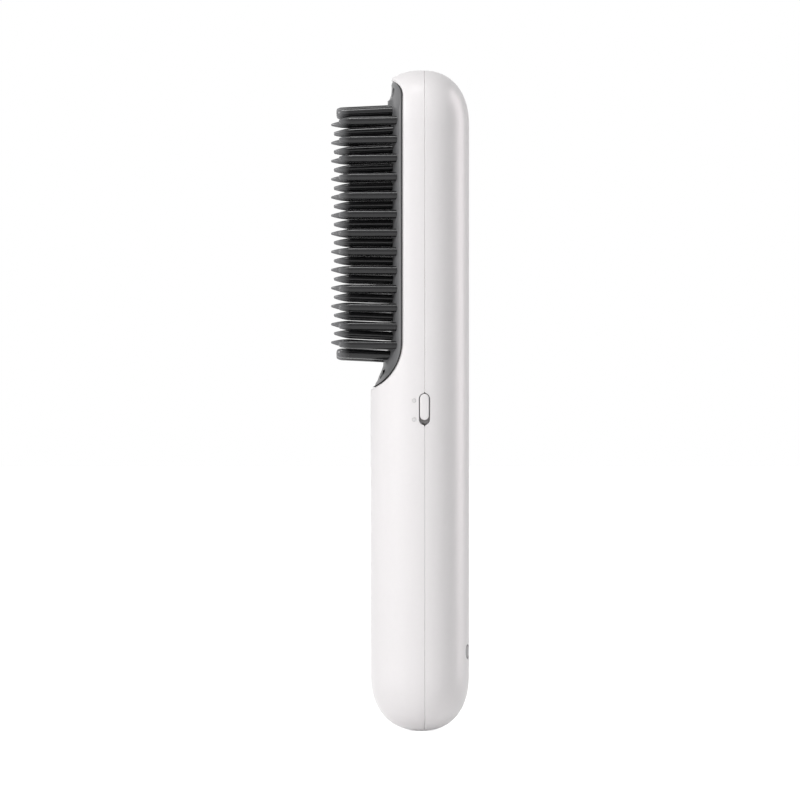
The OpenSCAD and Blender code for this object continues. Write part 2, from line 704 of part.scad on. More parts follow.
// Indicators: a light pipe from the wall, round the switch, to each light on the board
pipe_y = -8.2;
led_t = 0.7;
led_w = 1.6;
led_h = 1;
module lamp_places() for (s = [-1, 1]) translate([0, 0, switch_z + s * lamp_gap / 2 - lamp_drop]) children();
module indicator_pipes() placed() color([0.95, 0.95, 0.95]) lamp_places() {
    translate([-lamp_x, -side_y(-lamp_x, 0) + snug, 0]) rotate([-90, 0, 0])
        cylinder(d = lamp_d, h = side_y(-lamp_x, 0) + pipe_y - snug);
    translate([-lamp_x, pipe_y, 0]) sphere(d = lamp_d);
    rod_x(lamp_d, -lamp_x, board_x0 - led_t - snug, pipe_y, 0);
}
module indicator_leds() placed() color([0.95, 0.9, 0.6]) lamp_places()
    block([board_x0 - led_t, pipe_y - led_w / 2, -led_h / 2], [board_x0, pipe_y + led_w / 2, led_h / 2]);

// Main board
frame_x0 = 6.5;
frame_t = 1.5;
frame_x1 = frame_x0 + frame_t;
frame_w = 20;
board_screw_y = 8;
board_screw_in = 8;
module board_screw_places() for (s = [-1, 1])
    translate([0, s * board_screw_y, board_z1 - board_screw_in]) children();
module main_board() placed() color([0.1, 0.35, 0.2]) difference() {
    block([board_x0, -board_w / 2, board_z0], [board_x1, board_w / 2, board_z1]);
    board_screw_places() rod_x(screw_d + snug, -far, far, 0, 0);
    shell_screw_places() rod_x(boss_d + 2 * loose, -far, far, 0, 0);
}
module board_screws() placed() color([0.5, 0.5, 0.52]) board_screw_places()
    screw_x(board_x0, 0, 0, 1, screw_d - 2 * snug, frame_x1 - board_x0);
// The chips and cans on the board, from its lower end
chip_w = 7;
chip_t = 1;
chip_up = 3;
chip_y = 0.5;
transistor_w = 5;
transistor_h = 6;
transistor_t = 1.5;
transistor_up = 22;
transistor_y = [1, 8];
can_d = 4;
can_l = 5.4;
can_y = 8.5;
can_up = [5.5, 10.1];
module control_chip() placed() color([0.12, 0.12, 0.13])
    block([board_x0 - chip_t, chip_y - chip_w / 2, board_z0 + chip_up],
        [board_x0, chip_y + chip_w / 2, board_z0 + chip_up + chip_w]);
module power_transistors() placed() color([0.15, 0.15, 0.16]) for (y = transistor_y)
    block([board_x0 - transistor_t, y - transistor_w / 2, board_z0 + transistor_up],
        [board_x0, y + transistor_w / 2, board_z0 + transistor_up + transistor_h]);
module capacitors() placed() color([0.7, 0.7, 0.75]) for (z = can_up)
    rod_x(can_d, board_x0 - can_l, board_x0, can_y, board_z0 + z);

// Inner frame: a saddle for the cell, and above it a plate that carries the main board
saddle_back = 10.9;
saddle_front = 3;
cell_gap = 0.3;
frame_screw_l = 3.5;
frame_screw_in = 2.2;
frame_boss_d = 4.2;
frame_under = 4.6;
frame_z0 = cell_z - frame_under;
frame_mid = 4;
module frame_screw_places()
    for (z = [frame_z0 + frame_screw_in, board_z0 + frame_mid, board_z1 - frame_screw_in])
    translate([0, 0, z]) children();
module inner_frame() placed() color([0.8, 0.8, 0.78]) difference() {
    union() {
        block([frame_x0, -frame_w / 2, frame_z0], [frame_x1, frame_w / 2, board_z1]);
        block([saddle_front, -frame_w / 2, cell_z], [saddle_back, frame_w / 2, cell_z + cell_l]);
        board_screw_places() rod_x(boss_d, board_x1, frame_x1, 0, 0);
    }
    translate([0, 0, cell_z - loose]) cylinder(d = cell_d + 2 * cell_gap, h = cell_l + 2 * loose, $fn = 64);
    board_screw_places() rod_x(screw_d - snug, -far, far, 0, 0);
    frame_screw_places() rod_x(screw_d + snug, -far, far, 0, 0);
    shell_screw_places() rod_x(boss_d + 2 * loose, -far, far, 0, 0);
}
module frame_screws() placed() color([0.5, 0.5, 0.52]) frame_screw_places()
    screw_x(frame_x0, 0, 0, 1, screw_d - 2 * snug, frame_t + frame_screw_l - snug);

// Cell, with its raised positive end up. It fills the handle up to the main board.
cell_l = board_z0 - loose - cell_z;
module battery_cell() placed() color([0.2, 0.45, 0.7]) {
    translate([0, 0, cell_z]) cylinder(d = cell_d, h = cell_l - cap_h, $fn = 64);
    translate([0, 0, cell_z + cell_l - cap_h]) cylinder(d = cap_d, h = cap_h);
}
cap_h = 0.8;
cap_d = 7;
tab_t = 0.3;
tab_w = 5;
module battery_tabs() placed() color([0.8, 0.8, 0.8]) {
    block([-tab_w / 2, -tab_w / 2, cell_z + cell_l], [tab_w / 2, tab_w, cell_z + cell_l + tab_t]);
    block([-tab_w / 2, -tab_w, cell_z - tab_t], [tab_w / 2, tab_w / 2, cell_z]);
}
pad_w = 9;
pad_l = 12;
pad_gap = 1;
pad_x = front_x + wall + pad_gap;
module battery_pads() placed() color([0.2, 0.2, 0.2]) difference() {
    for (z = [cell_z + pad_l, cell_z + cell_l - pad_l])
        block([pad_x, -pad_w / 2, z - pad_l / 2], [0, pad_w / 2, z + pad_l / 2]);
    translate([0, 0, cell_z - past]) cylinder(d = cell_d + 2 * snug, h = cell_l + 2 * past, $fn = 64);
}
side_run_x = -3;
side_run_y = 13.6;
// The lead from either end of the cell starts on its tab, this far in
tab_lead_y = tab_w - 1;
// Where the cell's leads join the main board, above its lower end
cell_joint = 14;
module battery_leads() placed() color([0.8, 0.15, 0.15]) {
    lead([
        [0, tab_lead_y, cell_z + cell_l + tab_t + lead_d / 2],
        [-2, tab_lead_y, cell_z + cell_l + 4],
        [board_x0 - lead_d / 2 - snug, tab_lead_y, board_z0 + cell_joint]
    ], lead_d);
    lead([
        [0, -tab_lead_y, cell_z - tab_t - lead_d / 2],
        [side_run_x, -tab_lead_y, cell_z - 2.4],
        [side_run_x, side_run_y - 2, cell_z - 1],
        [side_run_x, side_run_y, cell_z + 4],
        [side_run_x, side_run_y, board_z0 + 8],
        [board_x0 - lead_d / 2 - snug, side_run_y - 4, board_z0 + cell_joint]
    ], lead_d);
}

// Charging board, lying flat under the receptacle
charge_z = port_z - usb_h / 2 - board_t;
charge_x0 = 2.5;
charge_x1 = 10.2;
charge_w = 22;
charge_screw_x = 5;
charge_screw_y = 8.4;
charge_screw_l = 6;
usb_in = 1.1;
usb_x1 = back_x - usb_in;
module charge_board() placed() color([0.1, 0.35, 0.2]) difference() {
    block([charge_x0, -charge_w / 2, charge_z], [charge_x1, charge_w / 2, charge_z + board_t]);
    for (s = [-1, 1]) translate([charge_screw_x, s * charge_screw_y, 0])
        cylinder(d = screw_d + snug, h = body_l);
}
module charge_board_screws() placed() color([0.5, 0.5, 0.52]) for (s = [-1, 1])
    translate([charge_screw_x, s * charge_screw_y, charge_z + board_t]) {
        cylinder(d = screw_head_d, h = screw_head_t);
        translate([0, 0, -charge_screw_l]) cylinder(d = screw_d - 2 * snug, h = charge_screw_l);
    }
charge_chip_in = 0.5;
charge_chip_w = 5;
module charge_chip() placed() color([0.12, 0.12, 0.13])
    block([charge_x0 + charge_chip_in, -charge_chip_w / 2, charge_z - chip_t],
        [charge_x0 + charge_chip_in + charge_chip_w, charge_chip_w / 2, charge_z]);
module charge_leads() placed() color([0.15, 0.15, 0.8]) for (s = [-1, 1]) lead([
    [charge_x0 + 0.8, s * lead_y, charge_z + board_t + lead_d / 2 + snug],
    [charge_bend_x, s * lead_y, charge_z + charge_bend_up],
    [charge_run_x, s * side_run_y, cell_z + charge_run_in],
    [charge_run_x, s * side_run_y, board_z0 - charge_run_in],
    [board_x0 + board_t / 2, s * (board_w / 2 - 1), board_z0 - lead_d / 2 - snug]
], lead_d);
charge_run_x = 1;
charge_run_in = 2.2;
charge_bend_x = -4;
charge_bend_up = 3;

module usb_solid(grow, x0, x1) translate([x0, 0, port_z]) rotate([0, 90, 0])
    linear_extrude(x1 - x0) pill(usb_w + 2 * grow, usb_h + 2 * grow);
module usb_shell() placed() color([0.75, 0.75, 0.76]) difference() {
    usb_solid(0, usb_x1 - usb_l, usb_x1);
    usb_solid(-usb_t, usb_x1 - usb_l + usb_base, usb_x1 + past);
}
usb_base = 1.6;
tongue_usb_w = 6.7;
tongue_usb_t = 0.7;
module usb_tongue() placed() color([0.1, 0.1, 0.1])
    block([usb_x1 - usb_l + usb_base, -tongue_usb_w / 2, port_z - tongue_usb_t / 2],
        [usb_x1 - tongue_in, tongue_usb_w / 2, port_z + tongue_usb_t / 2]);
tongue_in = 1;

// A ring that lines the port's recess and holds the receptacle's mouth
bezel_gap = 0.1;
bezel_l = 3.7;
port_sink = 0.5;
bezel_back = back_x - port_sink - bezel_l;
module port_bezel() placed() color([0.6, 0.6, 0.62]) difference() {
    intersection() {
        capsule(port_sink, port_sink, port_sink);
        translate([bezel_back, 0, port_z]) rotate([0, 90, 0])
            linear_extrude(far) pill(port_w - 2 * bezel_gap, port_h - 2 * bezel_gap);
    }
    usb_solid(snug, -far, far);
}

front_shell();
rear_shell();
comb_cover();
cover_screws();
shell_screws();
guard_teeth_near();
guard_teeth_far();
middle_teeth();
side_teeth_near();
side_teeth_far();
end_teeth_top();
end_teeth_bottom();
heater_plate();
ceramic_heater();
heater_clamp();
clamp_screws();
heat_shield();
shield_screws();
thermal_fuse();
temperature_sensor();
heater_leads();
power_slider();
switch_lever();
switch_body();
indicator_pipes();
indicator_leds();
main_board();
board_screws();
control_chip();
power_transistors();
capacitors();
inner_frame();
frame_screws();
battery_cell();
battery_tabs();
battery_pads();
battery_leads();
charge_board();
charge_board_screws();
charge_chip();
charge_leads();
usb_shell();
usb_tongue();
port_bezel();
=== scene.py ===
"""Looks of a hair straightening brush, worked out around its packed CAD part.

Every size below is in metres in the property groups and in millimetres in the shape functions, in
the handle's own frame: x is 0 in the middle of the case's depth, -x is the way the teeth point, z
runs up along the handle, and the slide switch is on the -y side.
"""

import json
import math

import bpy  # noqa: E402
import numpy as np  # noqa: E402
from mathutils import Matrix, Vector  # noqa: E402


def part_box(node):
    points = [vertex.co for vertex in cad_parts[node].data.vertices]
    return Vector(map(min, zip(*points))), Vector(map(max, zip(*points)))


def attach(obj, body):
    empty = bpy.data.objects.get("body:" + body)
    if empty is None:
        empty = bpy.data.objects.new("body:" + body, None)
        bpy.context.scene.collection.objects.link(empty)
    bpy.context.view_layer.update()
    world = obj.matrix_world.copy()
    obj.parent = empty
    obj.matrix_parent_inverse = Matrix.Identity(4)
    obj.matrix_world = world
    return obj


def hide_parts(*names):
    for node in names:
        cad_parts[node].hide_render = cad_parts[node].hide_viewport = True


bl_info = {
    "name": "Hair straightening brush",
    "version": (1, 0, 0),
    "blender": (4, 5, 0),
    "location": "3D View > Sidebar > Brush",
    "description": "Smooth case, teeth, knob, port and finishes around the brush's CAD part",
    "category": "Add Mesh",
}

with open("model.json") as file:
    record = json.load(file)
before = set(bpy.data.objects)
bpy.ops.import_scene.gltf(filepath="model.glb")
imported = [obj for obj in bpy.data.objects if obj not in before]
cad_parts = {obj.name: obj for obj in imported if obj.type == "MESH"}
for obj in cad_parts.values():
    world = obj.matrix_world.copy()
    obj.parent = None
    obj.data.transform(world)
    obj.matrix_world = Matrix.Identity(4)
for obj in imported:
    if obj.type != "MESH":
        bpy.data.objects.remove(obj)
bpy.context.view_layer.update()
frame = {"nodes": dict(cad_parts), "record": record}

MM = 0.001
FULL_TURN = 2 * math.pi
# The handle's own frame stands this far along X in the part's frame
CASE_DEPTH = 0.0313
SHIFT_X = (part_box("rear_shell")[1].x - CASE_DEPTH / 2) / MM
# The share of a cut's band that its rounded edge takes up
EDGE_SHARE = 0.6
# Heights of the two indicators from the middle of the switch's slot, and their place in depth
LAMP_HEIGHTS = {"lower": -3.3, "upper": 2.7}
LAMP_X = -2.0


# Sizes and colours


def length(name, description, value):
    """A size in metres that the sidebar shows with its unit."""
    return bpy.props.FloatProperty(
        name=name, description=description, default=value, precision=5, unit="LENGTH", min=0.0
    )


def colour(name, description, value):
    """A colour, without alpha."""
    return bpy.props.FloatVectorProperty(
        name=name, description=description, default=value, size=3, min=0.0, max=1.0, subtype="COLOR"
    )


class BrushCase(bpy.types.PropertyGroup):
    """Sizes of the oval case"""

    body_l: length("Length", "Length of the case from end to end", 0.210)
    body_d: length("Depth", "Depth of the case from front to back", CASE_DEPTH)
    body_w: length("Width", "Width of the case from side to side", 0.036)
    end_l: length("End length", "Length over which each end rounds off", 0.018)
    wall: length("Wall", "Thickness of the case's wall", 0.002)
    widest: length("Widest point", "Where the case is widest, behind the middle of its depth", 0.0006)
    seam: length("Seam", "Where the two shells meet, behind the middle of the case's depth", 0.0014)
    rim: length("Rim", "The opening's straight edge, in front of the middle of the depth", 0.0057)
    low_r: length("Lower corner", "Radius of the opening's lower corner in side view", 0.016)
    low_z: length("Lower corner's middle", "Height of the lower corner's middle", 0.1237)
    high_r: length("Upper corner", "Radius of the opening's upper corner in side view", 0.0062)
    high_z: length("Upper corner's middle", "Height of the upper corner's middle", 0.2016)
    rim_round: length("Rim rounding", "Rounding of the opening's edge", 0.0009)
    seam_round: length("Seam rounding", "Rounding of each shell along the seam", 0.00016)


class BrushTeeth(bpy.types.PropertyGroup):
    """Sizes of the comb's teeth"""

    row_pitch: length("Row pitch", "Distance from one row of teeth to the next", 0.00593)
    col_pitch: length("Column pitch", "Distance from one column of teeth to the next", 0.0059)
    thick: length("Thickness", "Thickness of a tooth along the handle", 0.00275)
    wide: length("Width", "Width of a hot tooth across the handle", 0.0038)
    guard_wide: length("Guard width", "Width of a guard tooth across the handle", 0.0036)
    mid_reach: length("Middle reach", "How far the middle teeth stand out from the crest", 0.0192)
    side_reach: length("Side reach", "How far the side teeth stand out from the crest", 0.0183)
    guard_reach: length("Guard reach", "How far the guard teeth stand out from the crest", 0.0167)
    end_reach: length("End reach", "How far the end teeth stand out from the crest", 0.0175)


class BrushControls(bpy.types.PropertyGroup):
    """Sizes of the switch, the indicators and the port"""

    switch_x: length("Switch place", "Middle of the slot behind the middle of the depth", 0.0013)
    switch_z: length("Switch height", "Middle of the slot above the lower end", 0.1023)
    slot_l: length("Slot length", "Length of the switch's slot", 0.01005)
    slot_w: length("Slot width", "Width of the switch's slot", 0.00347)
    knob_l: length("Knob length", "Length of the switch's knob", 0.00825)
    knob_w: length("Knob width", "Width of the switch's knob", 0.00285)
    lamp_d: length("Indicator hole", "Diameter of each indicator's hole", 0.00132)
    port_z: length("Port height", "Middle of the charging port above the lower end", 0.0253)
    port_w: length("Port width", "Width of the port's recess", 0.015)
    port_h: length("Port height across", "Height of the port's recess", 0.0045)


class BrushFinish(bpy.types.PropertyGroup):
    """Colours of what shows"""

    case: colour("Case", "White moulded case", (0.82, 0.797, 0.802))
    cover: colour("Cover", "Dark grey cover under the teeth", (0.130, 0.130, 0.134))
    tooth: colour("Tooth", "Black teeth", (0.009, 0.009, 0.010))
    # The paler tooth points are a painted highlight for the light that the rounded points catch
    tooth_tip_highlight: colour("Tooth tip", "Paler points of the teeth", (0.17, 0.17, 0.175))
    lens: colour("Indicator", "Milky indicator lens", (0.74, 0.73, 0.73))


SETTINGS = {
    "brush_case": BrushCase,
    "brush_teeth": BrushTeeth,
    "brush_controls": BrushControls,
    "brush_finish": BrushFinish,
}


def sizes(group):
    """The group's sizes in millimetres, by name."""
    settings = getattr(bpy.context.scene, group)
    return {k: getattr(settings, k) / MM for k in SETTINGS[group].__annotations__}


def tint(name):
    """One of the finish group's colours, by name."""
    return tuple(getattr(bpy.context.scene.brush_finish, name))


# Meshes


def to_row(points):
    """Millimetres in the handle's own frame, as metres in the part's frame."""
    return (np.asarray(points, float) + [SHIFT_X, 0, 0]) * MM


def build(name, points, faces, body, slot, nodes=(), normals=None, sharp=None):
    """A mesh piece from points and a list of face arrays, one array for each number of corners.
    It rides on body and stands for nodes. slot is not used."""
    mesh = bpy.data.meshes.new(name)
    points = to_row(points)
    faces = [np.asarray(f, np.int32) for f in faces if len(f)]
    corners = np.concatenate([f.ravel() for f in faces])
    counts = np.concatenate([np.full(len(f), f.shape[1], np.int32) for f in faces])
    starts = np.concatenate([[0], np.cumsum(counts)[:-1]]).astype(np.int32)
    mesh.vertices.add(len(points))
    mesh.vertices.foreach_set("co", points.astype(np.float32).ravel())
    mesh.loops.add(len(corners))
    mesh.loops.foreach_set("vertex_index", corners)
    mesh.polygons.add(len(counts))
    mesh.polygons.foreach_set("loop_start", starts)
    mesh.update(calc_edges=True)
    mesh.polygons.foreach_set("use_smooth", np.ones(len(counts), bool))
    if mesh.validate():
        raise RuntimeError(f"{name} has a broken face")
    if normals is not None:
        mesh.normals_split_custom_set_from_vertices(normals.astype(np.float32))
    elif sharp is not None:
        mesh.set_sharp_from_angle(angle=math.radians(sharp))
    obj = bpy.data.objects.new(name, mesh)
    bpy.context.scene.collection.objects.link(obj)
    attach(obj, body)
    if nodes:
        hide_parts(*nodes)
    return obj


def loop_faces(rows, columns):
    """Faces of a grid of rows by columns points that closes both ways. The last ones, as many as
    there are columns, lead from the last row back to the first."""
    r, c = np.meshgrid(np.arange(rows), np.arange(columns), indexing="ij")
    up, side = (r + 1) % rows * columns, (c + 1) % columns
    return np.stack([r * columns + c, r * columns + side, up + side, up + c], -1).reshape(-1, 4)


def tube(rings, high_cap=True):
    """A tube of rings, an array of rows by columns by 3, with a flat face over its first ring, and
    with high_cap one over its last."""
    rows, columns = rings.shape[:2]
    caps = [np.arange(columns)[::-1]]
    if high_cap:
        caps.append((rows - 1) * columns + np.arange(columns))
    return rings.reshape(-1, 3), [loop_faces(rows, columns)[:-columns], np.array(caps)]


def pill_ring(half_l, half_w, steps):
    """Points round a flat oval: a circle of half_w carried along a line, so that each half circle is
    moved out by half_l - half_w. The long way is the first coordinate."""
    a = (np.arange(steps) + 0.5) * FULL_TURN / steps
    out = np.sign(np.cos(a)) * (half_l - half_w)
    return np.stack([out + half_w * np.cos(a), half_w * np.sin(a)], -1)


# The case's outer form


class OvalCase:
    """The case's outer surface: at each height a superellipse, drawn in towards each end along
    another one, so that rho^q + u^q = 1, with rho the superellipse's own radius, and u the share of
    the end's length."""

    oval_round = 2.15
    end_round = 2.3

    def __init__(self, s):
        self.length, self.end = s["body_l"], s["end_l"]
        self.half_d, self.half_w, self.widest = s["body_d"] / 2, s["body_w"] / 2, s["widest"]

    def depth(self, x):
        """Half the depth on the side of the widest line that x is on."""
        return np.where(x < self.widest, self.half_d + self.widest, self.half_d - self.widest)

    def level(self, v):
        """Height and share of the full size at v: 0 to 1 on the lower end, 1 to 2 on the straight
        length, 2 to 3 on the upper end."""
        t = np.clip(np.where(v < 1, v, np.where(v > 2, 3 - v, 1)), 0, 1) * math.pi / 2
        share = np.sin(t) ** (2 / self.end_round)
        drop = self.end * (1 - np.abs(np.cos(t)) ** (2 / self.end_round))
        middle = self.end + (v - 1) * (self.length - 2 * self.end)
        return np.where(v < 1, drop, np.where(v > 2, self.length - drop, middle)), share

    def at(self, a, v):
        """The point at angle a round the oval and v along the case."""
        z, share = self.level(v)
        c, s = np.cos(a), np.sin(a)
        x = np.sign(c) * np.abs(c) ** (2 / self.oval_round) * share
        y = np.sign(s) * np.abs(s) ** (2 / self.oval_round) * share * self.half_w
        x = self.widest + x * np.where(c < 0, self.half_d + self.widest, self.half_d - self.widest)
        return np.stack([x, y, z + 0 * x], -1)

    def field(self, p):
        """The form's own function, 0 on the surface, and its slope."""
        d = self.depth(p[..., 0])
        dx, dy = (p[..., 0] - self.widest) / d, p[..., 1] / self.half_w
        z = p[..., 2]
        u = np.maximum(np.maximum(self.end - z, z - self.length + self.end), 0) / self.end
        o, q = self.oval_round, self.end_round
        s = np.maximum(np.abs(dx) ** o + np.abs(dy) ** o, 1e-12)
        value = s ** (q / o) + u**q - 1
        k = q * s ** (q / o - 1)
        slope = np.stack(
            [
                k * np.sign(dx) * np.abs(dx) ** (o - 1) / d,
                k * np.sign(dy) * np.abs(dy) ** (o - 1) / self.half_w,
                q * u ** (q - 1) * np.where(z < self.end, -1, 1) / self.end,
            ],
            -1,
        )
        return value, slope

    def normal(self, p):
        """The slope's direction, with a length of 1."""
        slope = self.field(p)[1]
        return slope / np.linalg.norm(slope, axis=-1, keepdims=True)


def spread(low, high, size, close, samples=6001):
    """Values from low to high whose steps follow size, the wanted step at each of many samples: the
    way along the samples is summed in shares of the wanted step, and cut into equal parts."""
    t = np.linspace(low, high, samples)
    p, wanted = size(t)
    run = np.linalg.norm(np.diff(p, axis=0), axis=1) / ((wanted[1:] + wanted[:-1]) / 2)
    total = np.concatenate([[0], np.cumsum(run)])
    marks = np.linspace(0, total[-1], math.ceil(total[-1]) + 1)
    return np.interp(marks[:-1] if close else marks, total, t)


def pill_distance(a, b, half_l, half_w):
    """Distance outside a flat oval whose long way is a."""
    return np.hypot(np.maximum(np.abs(a) - (half_l - half_w), 0), b) - half_w


def opening_distance(p, s):
    """Distance, in the side view, outside the opening at the front of the head: low down from the
    circle that turns its lower edge, high up from the one that turns its upper edge, and between
    them from the straight rim."""
    x, z = p[..., 0], p[..., 2]
    rim, r0, z0, r1, z1 = s["rim"], s["low_r"], s["low_z"], s["high_r"], s["high_z"]
    low = np.where(x > -rim - r0, np.hypot(x + rim + r0, z - z0) - r0, z0 - z - r0)
    high = np.where(x > -rim - r1, np.hypot(x + rim + r1, z - z1) - r1, z - z1 - r1)
    return np.where(z < z0, low, np.where(z > z1, high, x + rim))


class Trim:
    """The case's skin without what is cut from it. Each cut is a distance that is positive where
    material stays, and the width of the band next to it that is left to the rounded edge."""

    newton_steps = 12
    longest_move = 0.5
    halvings = 30
    small = 1e-9

    def __init__(self, oval, cuts):
        self.oval, self.cuts = oval, cuts

    def band(self, p):
        """The nearest cut's distance, as a share of its band, and that band."""
        shares = np.stack([c(p) / w for c, w in self.cuts])
        nearest = shares.argmin(0)
        return shares.min(0), np.array([w for _, w in self.cuts])[nearest]

    def slope(self, p):
        """Slope of the nearest cut's distance, from small steps each way."""
        h = 1e-4
        steps = np.eye(3) * h
        return np.stack(
            [(self.band(p + s)[0] - self.band(p - s)[0]) / (2 * h) for s in steps], -1
        )

    def onto(self, p, share):
        """Moves points along the surface until the nearest cut is share of its band away, by
        Newton's steps on both functions at once."""
        for _ in range(self.newton_steps):
            f, n = self.oval.field(p)
            size = np.linalg.norm(n, axis=-1, keepdims=True)
            f, n = f / size[..., 0], n / size
            g = self.slope(p)
            along = g - (g * n).sum(-1, keepdims=True) * n
            w = self.band(p)[1]
            k = np.linalg.norm(along, axis=-1) * w
            gap = self.band(p)[0] - share * k
            b = (n * g).sum(-1)
            c = (g * g).sum(-1)
            det = np.maximum(c - b * b, self.small)
            step_n = (c * f - b * gap) / det
            step_g = (gap - b * f) / det
            move = step_n[..., None] * n + step_g[..., None] * g
            far = np.linalg.norm(move, axis=-1, keepdims=True)
            p = p - move * np.minimum(1, self.longest_move / np.maximum(far, self.small))
        return p

    def crossing(self, at, low, high):
        """Where the band ends on each grid edge from low to high, by halving."""
        for _ in range(self.halvings):
            mid = [(a + b) / 2 for a, b in zip(low, high)]
            inside = self.band(at(*mid))[0] > 1
            low = [np.where(inside, m, a) for m, a in zip(mid, low)]
            high = [np.where(inside, b, m) for m, b in zip(mid, high)]
        return at(*low)


def trimmed_case(oval, cuts, angles, levels, wall, edge_steps=6):
    """A shell of the oval case with its cuts. A grid over angle and height is kept where every cut is
    more than its band away, cells that a band's edge crosses are clipped along it, and the band is
    filled with rings that round the edge over and go down through the wall. The same skin, moved in
    by the wall, closes the shell inside. Returns points, faces and normals."""
    trim = Trim(oval, cuts)
    na, nv = len(angles), len(levels)
    a_next = np.concatenate([angles[1:], [angles[0] + FULL_TURN]])
    aa, vv = np.meshgrid(angles, levels, indexing="ij")
    grid = oval.at(aa, vv)
    inside = trim.band(grid)[0] > 1
    beside = np.roll(inside, -1, 0)
    across_a = np.nonzero(inside != beside)
    across_v = np.nonzero(inside[:, :-1] != inside[:, 1:])

    def edge_points(i, j, i2, j2):
        """Where the grid edges from i, j to i2, j2 leave the kept part, from the inside outwards."""
        first = inside[i, j]
        a0, a1 = angles[i], np.where(i2 == i, angles[i], a_next[i])
        v0, v1 = levels[j], levels[j2]
        low = [np.where(first, a0, a1), np.where(first, v0, v1)]
        high = [np.where(first, a1, a0), np.where(first, v1, v0)]
        return trim.crossing(oval.at, low, high)

    ia, ja = across_a
    iv, jv = across_v
    cross = np.concatenate(
        [edge_points(ia, ja, (ia + 1) % na, ja), edge_points(iv, jv, iv, jv + 1)]
    )
    n_grid, n_cross = na * nv, len(cross)
    id_a = np.full((na, nv), -1)
    id_a[ia, ja] = n_grid + np.arange(len(ia))
    id_v = np.full((na, nv), -1)
    id_v[iv, jv] = n_grid + len(ia) + np.arange(len(iv))
    ids = np.arange(n_grid).reshape(na, nv)

    i, j = np.meshgrid(np.arange(na), np.arange(nv - 1), indexing="ij")
    i, j = i.ravel(), j.ravel()
    i2 = (i + 1) % na
    corner = np.stack([ids[i, j], ids[i2, j], ids[i2, j + 1], ids[i, j + 1]], -1)
    side = np.stack([id_a[i, j], id_v[i2, j], id_a[i, j + 1], id_v[i, j]], -1)
    kept = inside.ravel()[corner]
    code = (kept * [1, 2, 4, 8]).sum(1)
    faces = {4: [corner[code == 15]]}
    rim = []
    for case in range(1, 15):
        cells = code == case
        marks = []
        for k in range(4):
            if case >> k & 1:
                marks.append((False, corner[cells][:, k]))
            if (case >> k & 1) != (case >> (k + 1) % 4 & 1):
                marks.append((True, side[cells][:, k]))
        faces.setdefault(len(marks), []).append(np.stack([m[1] for m in marks], -1))
        for m, mark in enumerate(marks):
            after = marks[(m + 1) % len(marks)]
            if mark[0] and after[0]:
                rim.append(np.stack([mark[1], after[1]], -1))
    faces = [np.concatenate(f) for f in faces.values()]
    rim = np.concatenate(rim) - n_grid

    skin = np.concatenate([grid.reshape(-1, 3), cross])
    poles = []
    for level, high in ((0, False), (nv - 1, True)):
        if inside[:, level].all():
            z = oval.length if high else 0.0
            poles.append([oval.widest, 0, z])
            pole = np.full(na, len(skin) + len(poles) - 1)
            ring, after = ids[:, level], np.roll(ids[:, level], -1)
            fan = [pole, ring, after] if high else [pole, after, ring]
            faces.append(np.stack(fan, -1))
    if poles:
        skin = np.concatenate([skin, poles])
    normals = oval.normal(skin)
    if poles:
        normals[-len(poles) :] = [[0, 0, 1 if p[2] > 1 else -1] for p in poles]

    # The rounded edge, then the wall's own face
    turn = np.linspace(0, math.pi / 2, edge_steps + 1)
    rings, ring_normals = [], []
    at_edge = cross
    for t in turn:
        at_edge = trim.onto(at_edge, EDGE_SHARE * (1 - math.sin(t)))
        n, g, w = oval.normal(at_edge), trim.slope(at_edge), trim.band(at_edge)[1]
        g = g - (g * n).sum(-1, keepdims=True) * n
        g = g / np.linalg.norm(g, axis=-1, keepdims=True)
        deep = EDGE_SHARE * w * (1 - math.cos(t))
        rings.append(at_edge - n * deep[:, None])
        ring_normals.append(math.cos(t) * n - math.sin(t) * g)
    cut = trim.slope(at_edge)
    cut = cut / np.linalg.norm(cut, axis=-1, keepdims=True)
    way = -n + (n * cut).sum(-1, keepdims=True) * cut
    way = way / np.maximum((way * way).sum(-1, keepdims=True), 1e-6)
    rings.append(at_edge + way * wall)
    ring_normals.append(-cut)

    outer = len(skin)
    points = np.concatenate([skin, *rings, skin - normals * wall])
    all_normals = np.concatenate([normals, *ring_normals, -normals])
    inner = outer + len(rings) * n_cross
    starts = [n_grid, *(outer + k * n_cross for k in range(len(rings))), inner + n_grid]
    strips = [
        np.stack([lo + rim[:, 1], lo + rim[:, 0], hi + rim[:, 0], hi + rim[:, 1]], -1)
        for lo, hi in zip(starts[:-1], starts[1:])
    ]
    everything = faces + strips + [f[:, ::-1] + inner for f in faces]
    used = np.unique(np.concatenate([f.ravel() for f in everything]))
    back = np.zeros(len(points), np.int64)
    back[used] = np.arange(len(used))
    return points[used], [back[f] for f in everything], all_normals[used]


# Finishes


def wired(tree, node, values=(), feeds=()):
    """A node with some of its inputs set to values and others fed from sockets, both by input. It is
    a new one where node is the name of its kind."""
    if isinstance(node, str):
        node = tree.nodes.new("ShaderNode" + node)
    for key, value in dict(values).items():
        node.inputs[key].default_value = value
    for key, socket in dict(feeds).items():
        tree.links.new(socket, node.inputs[key])
    return node


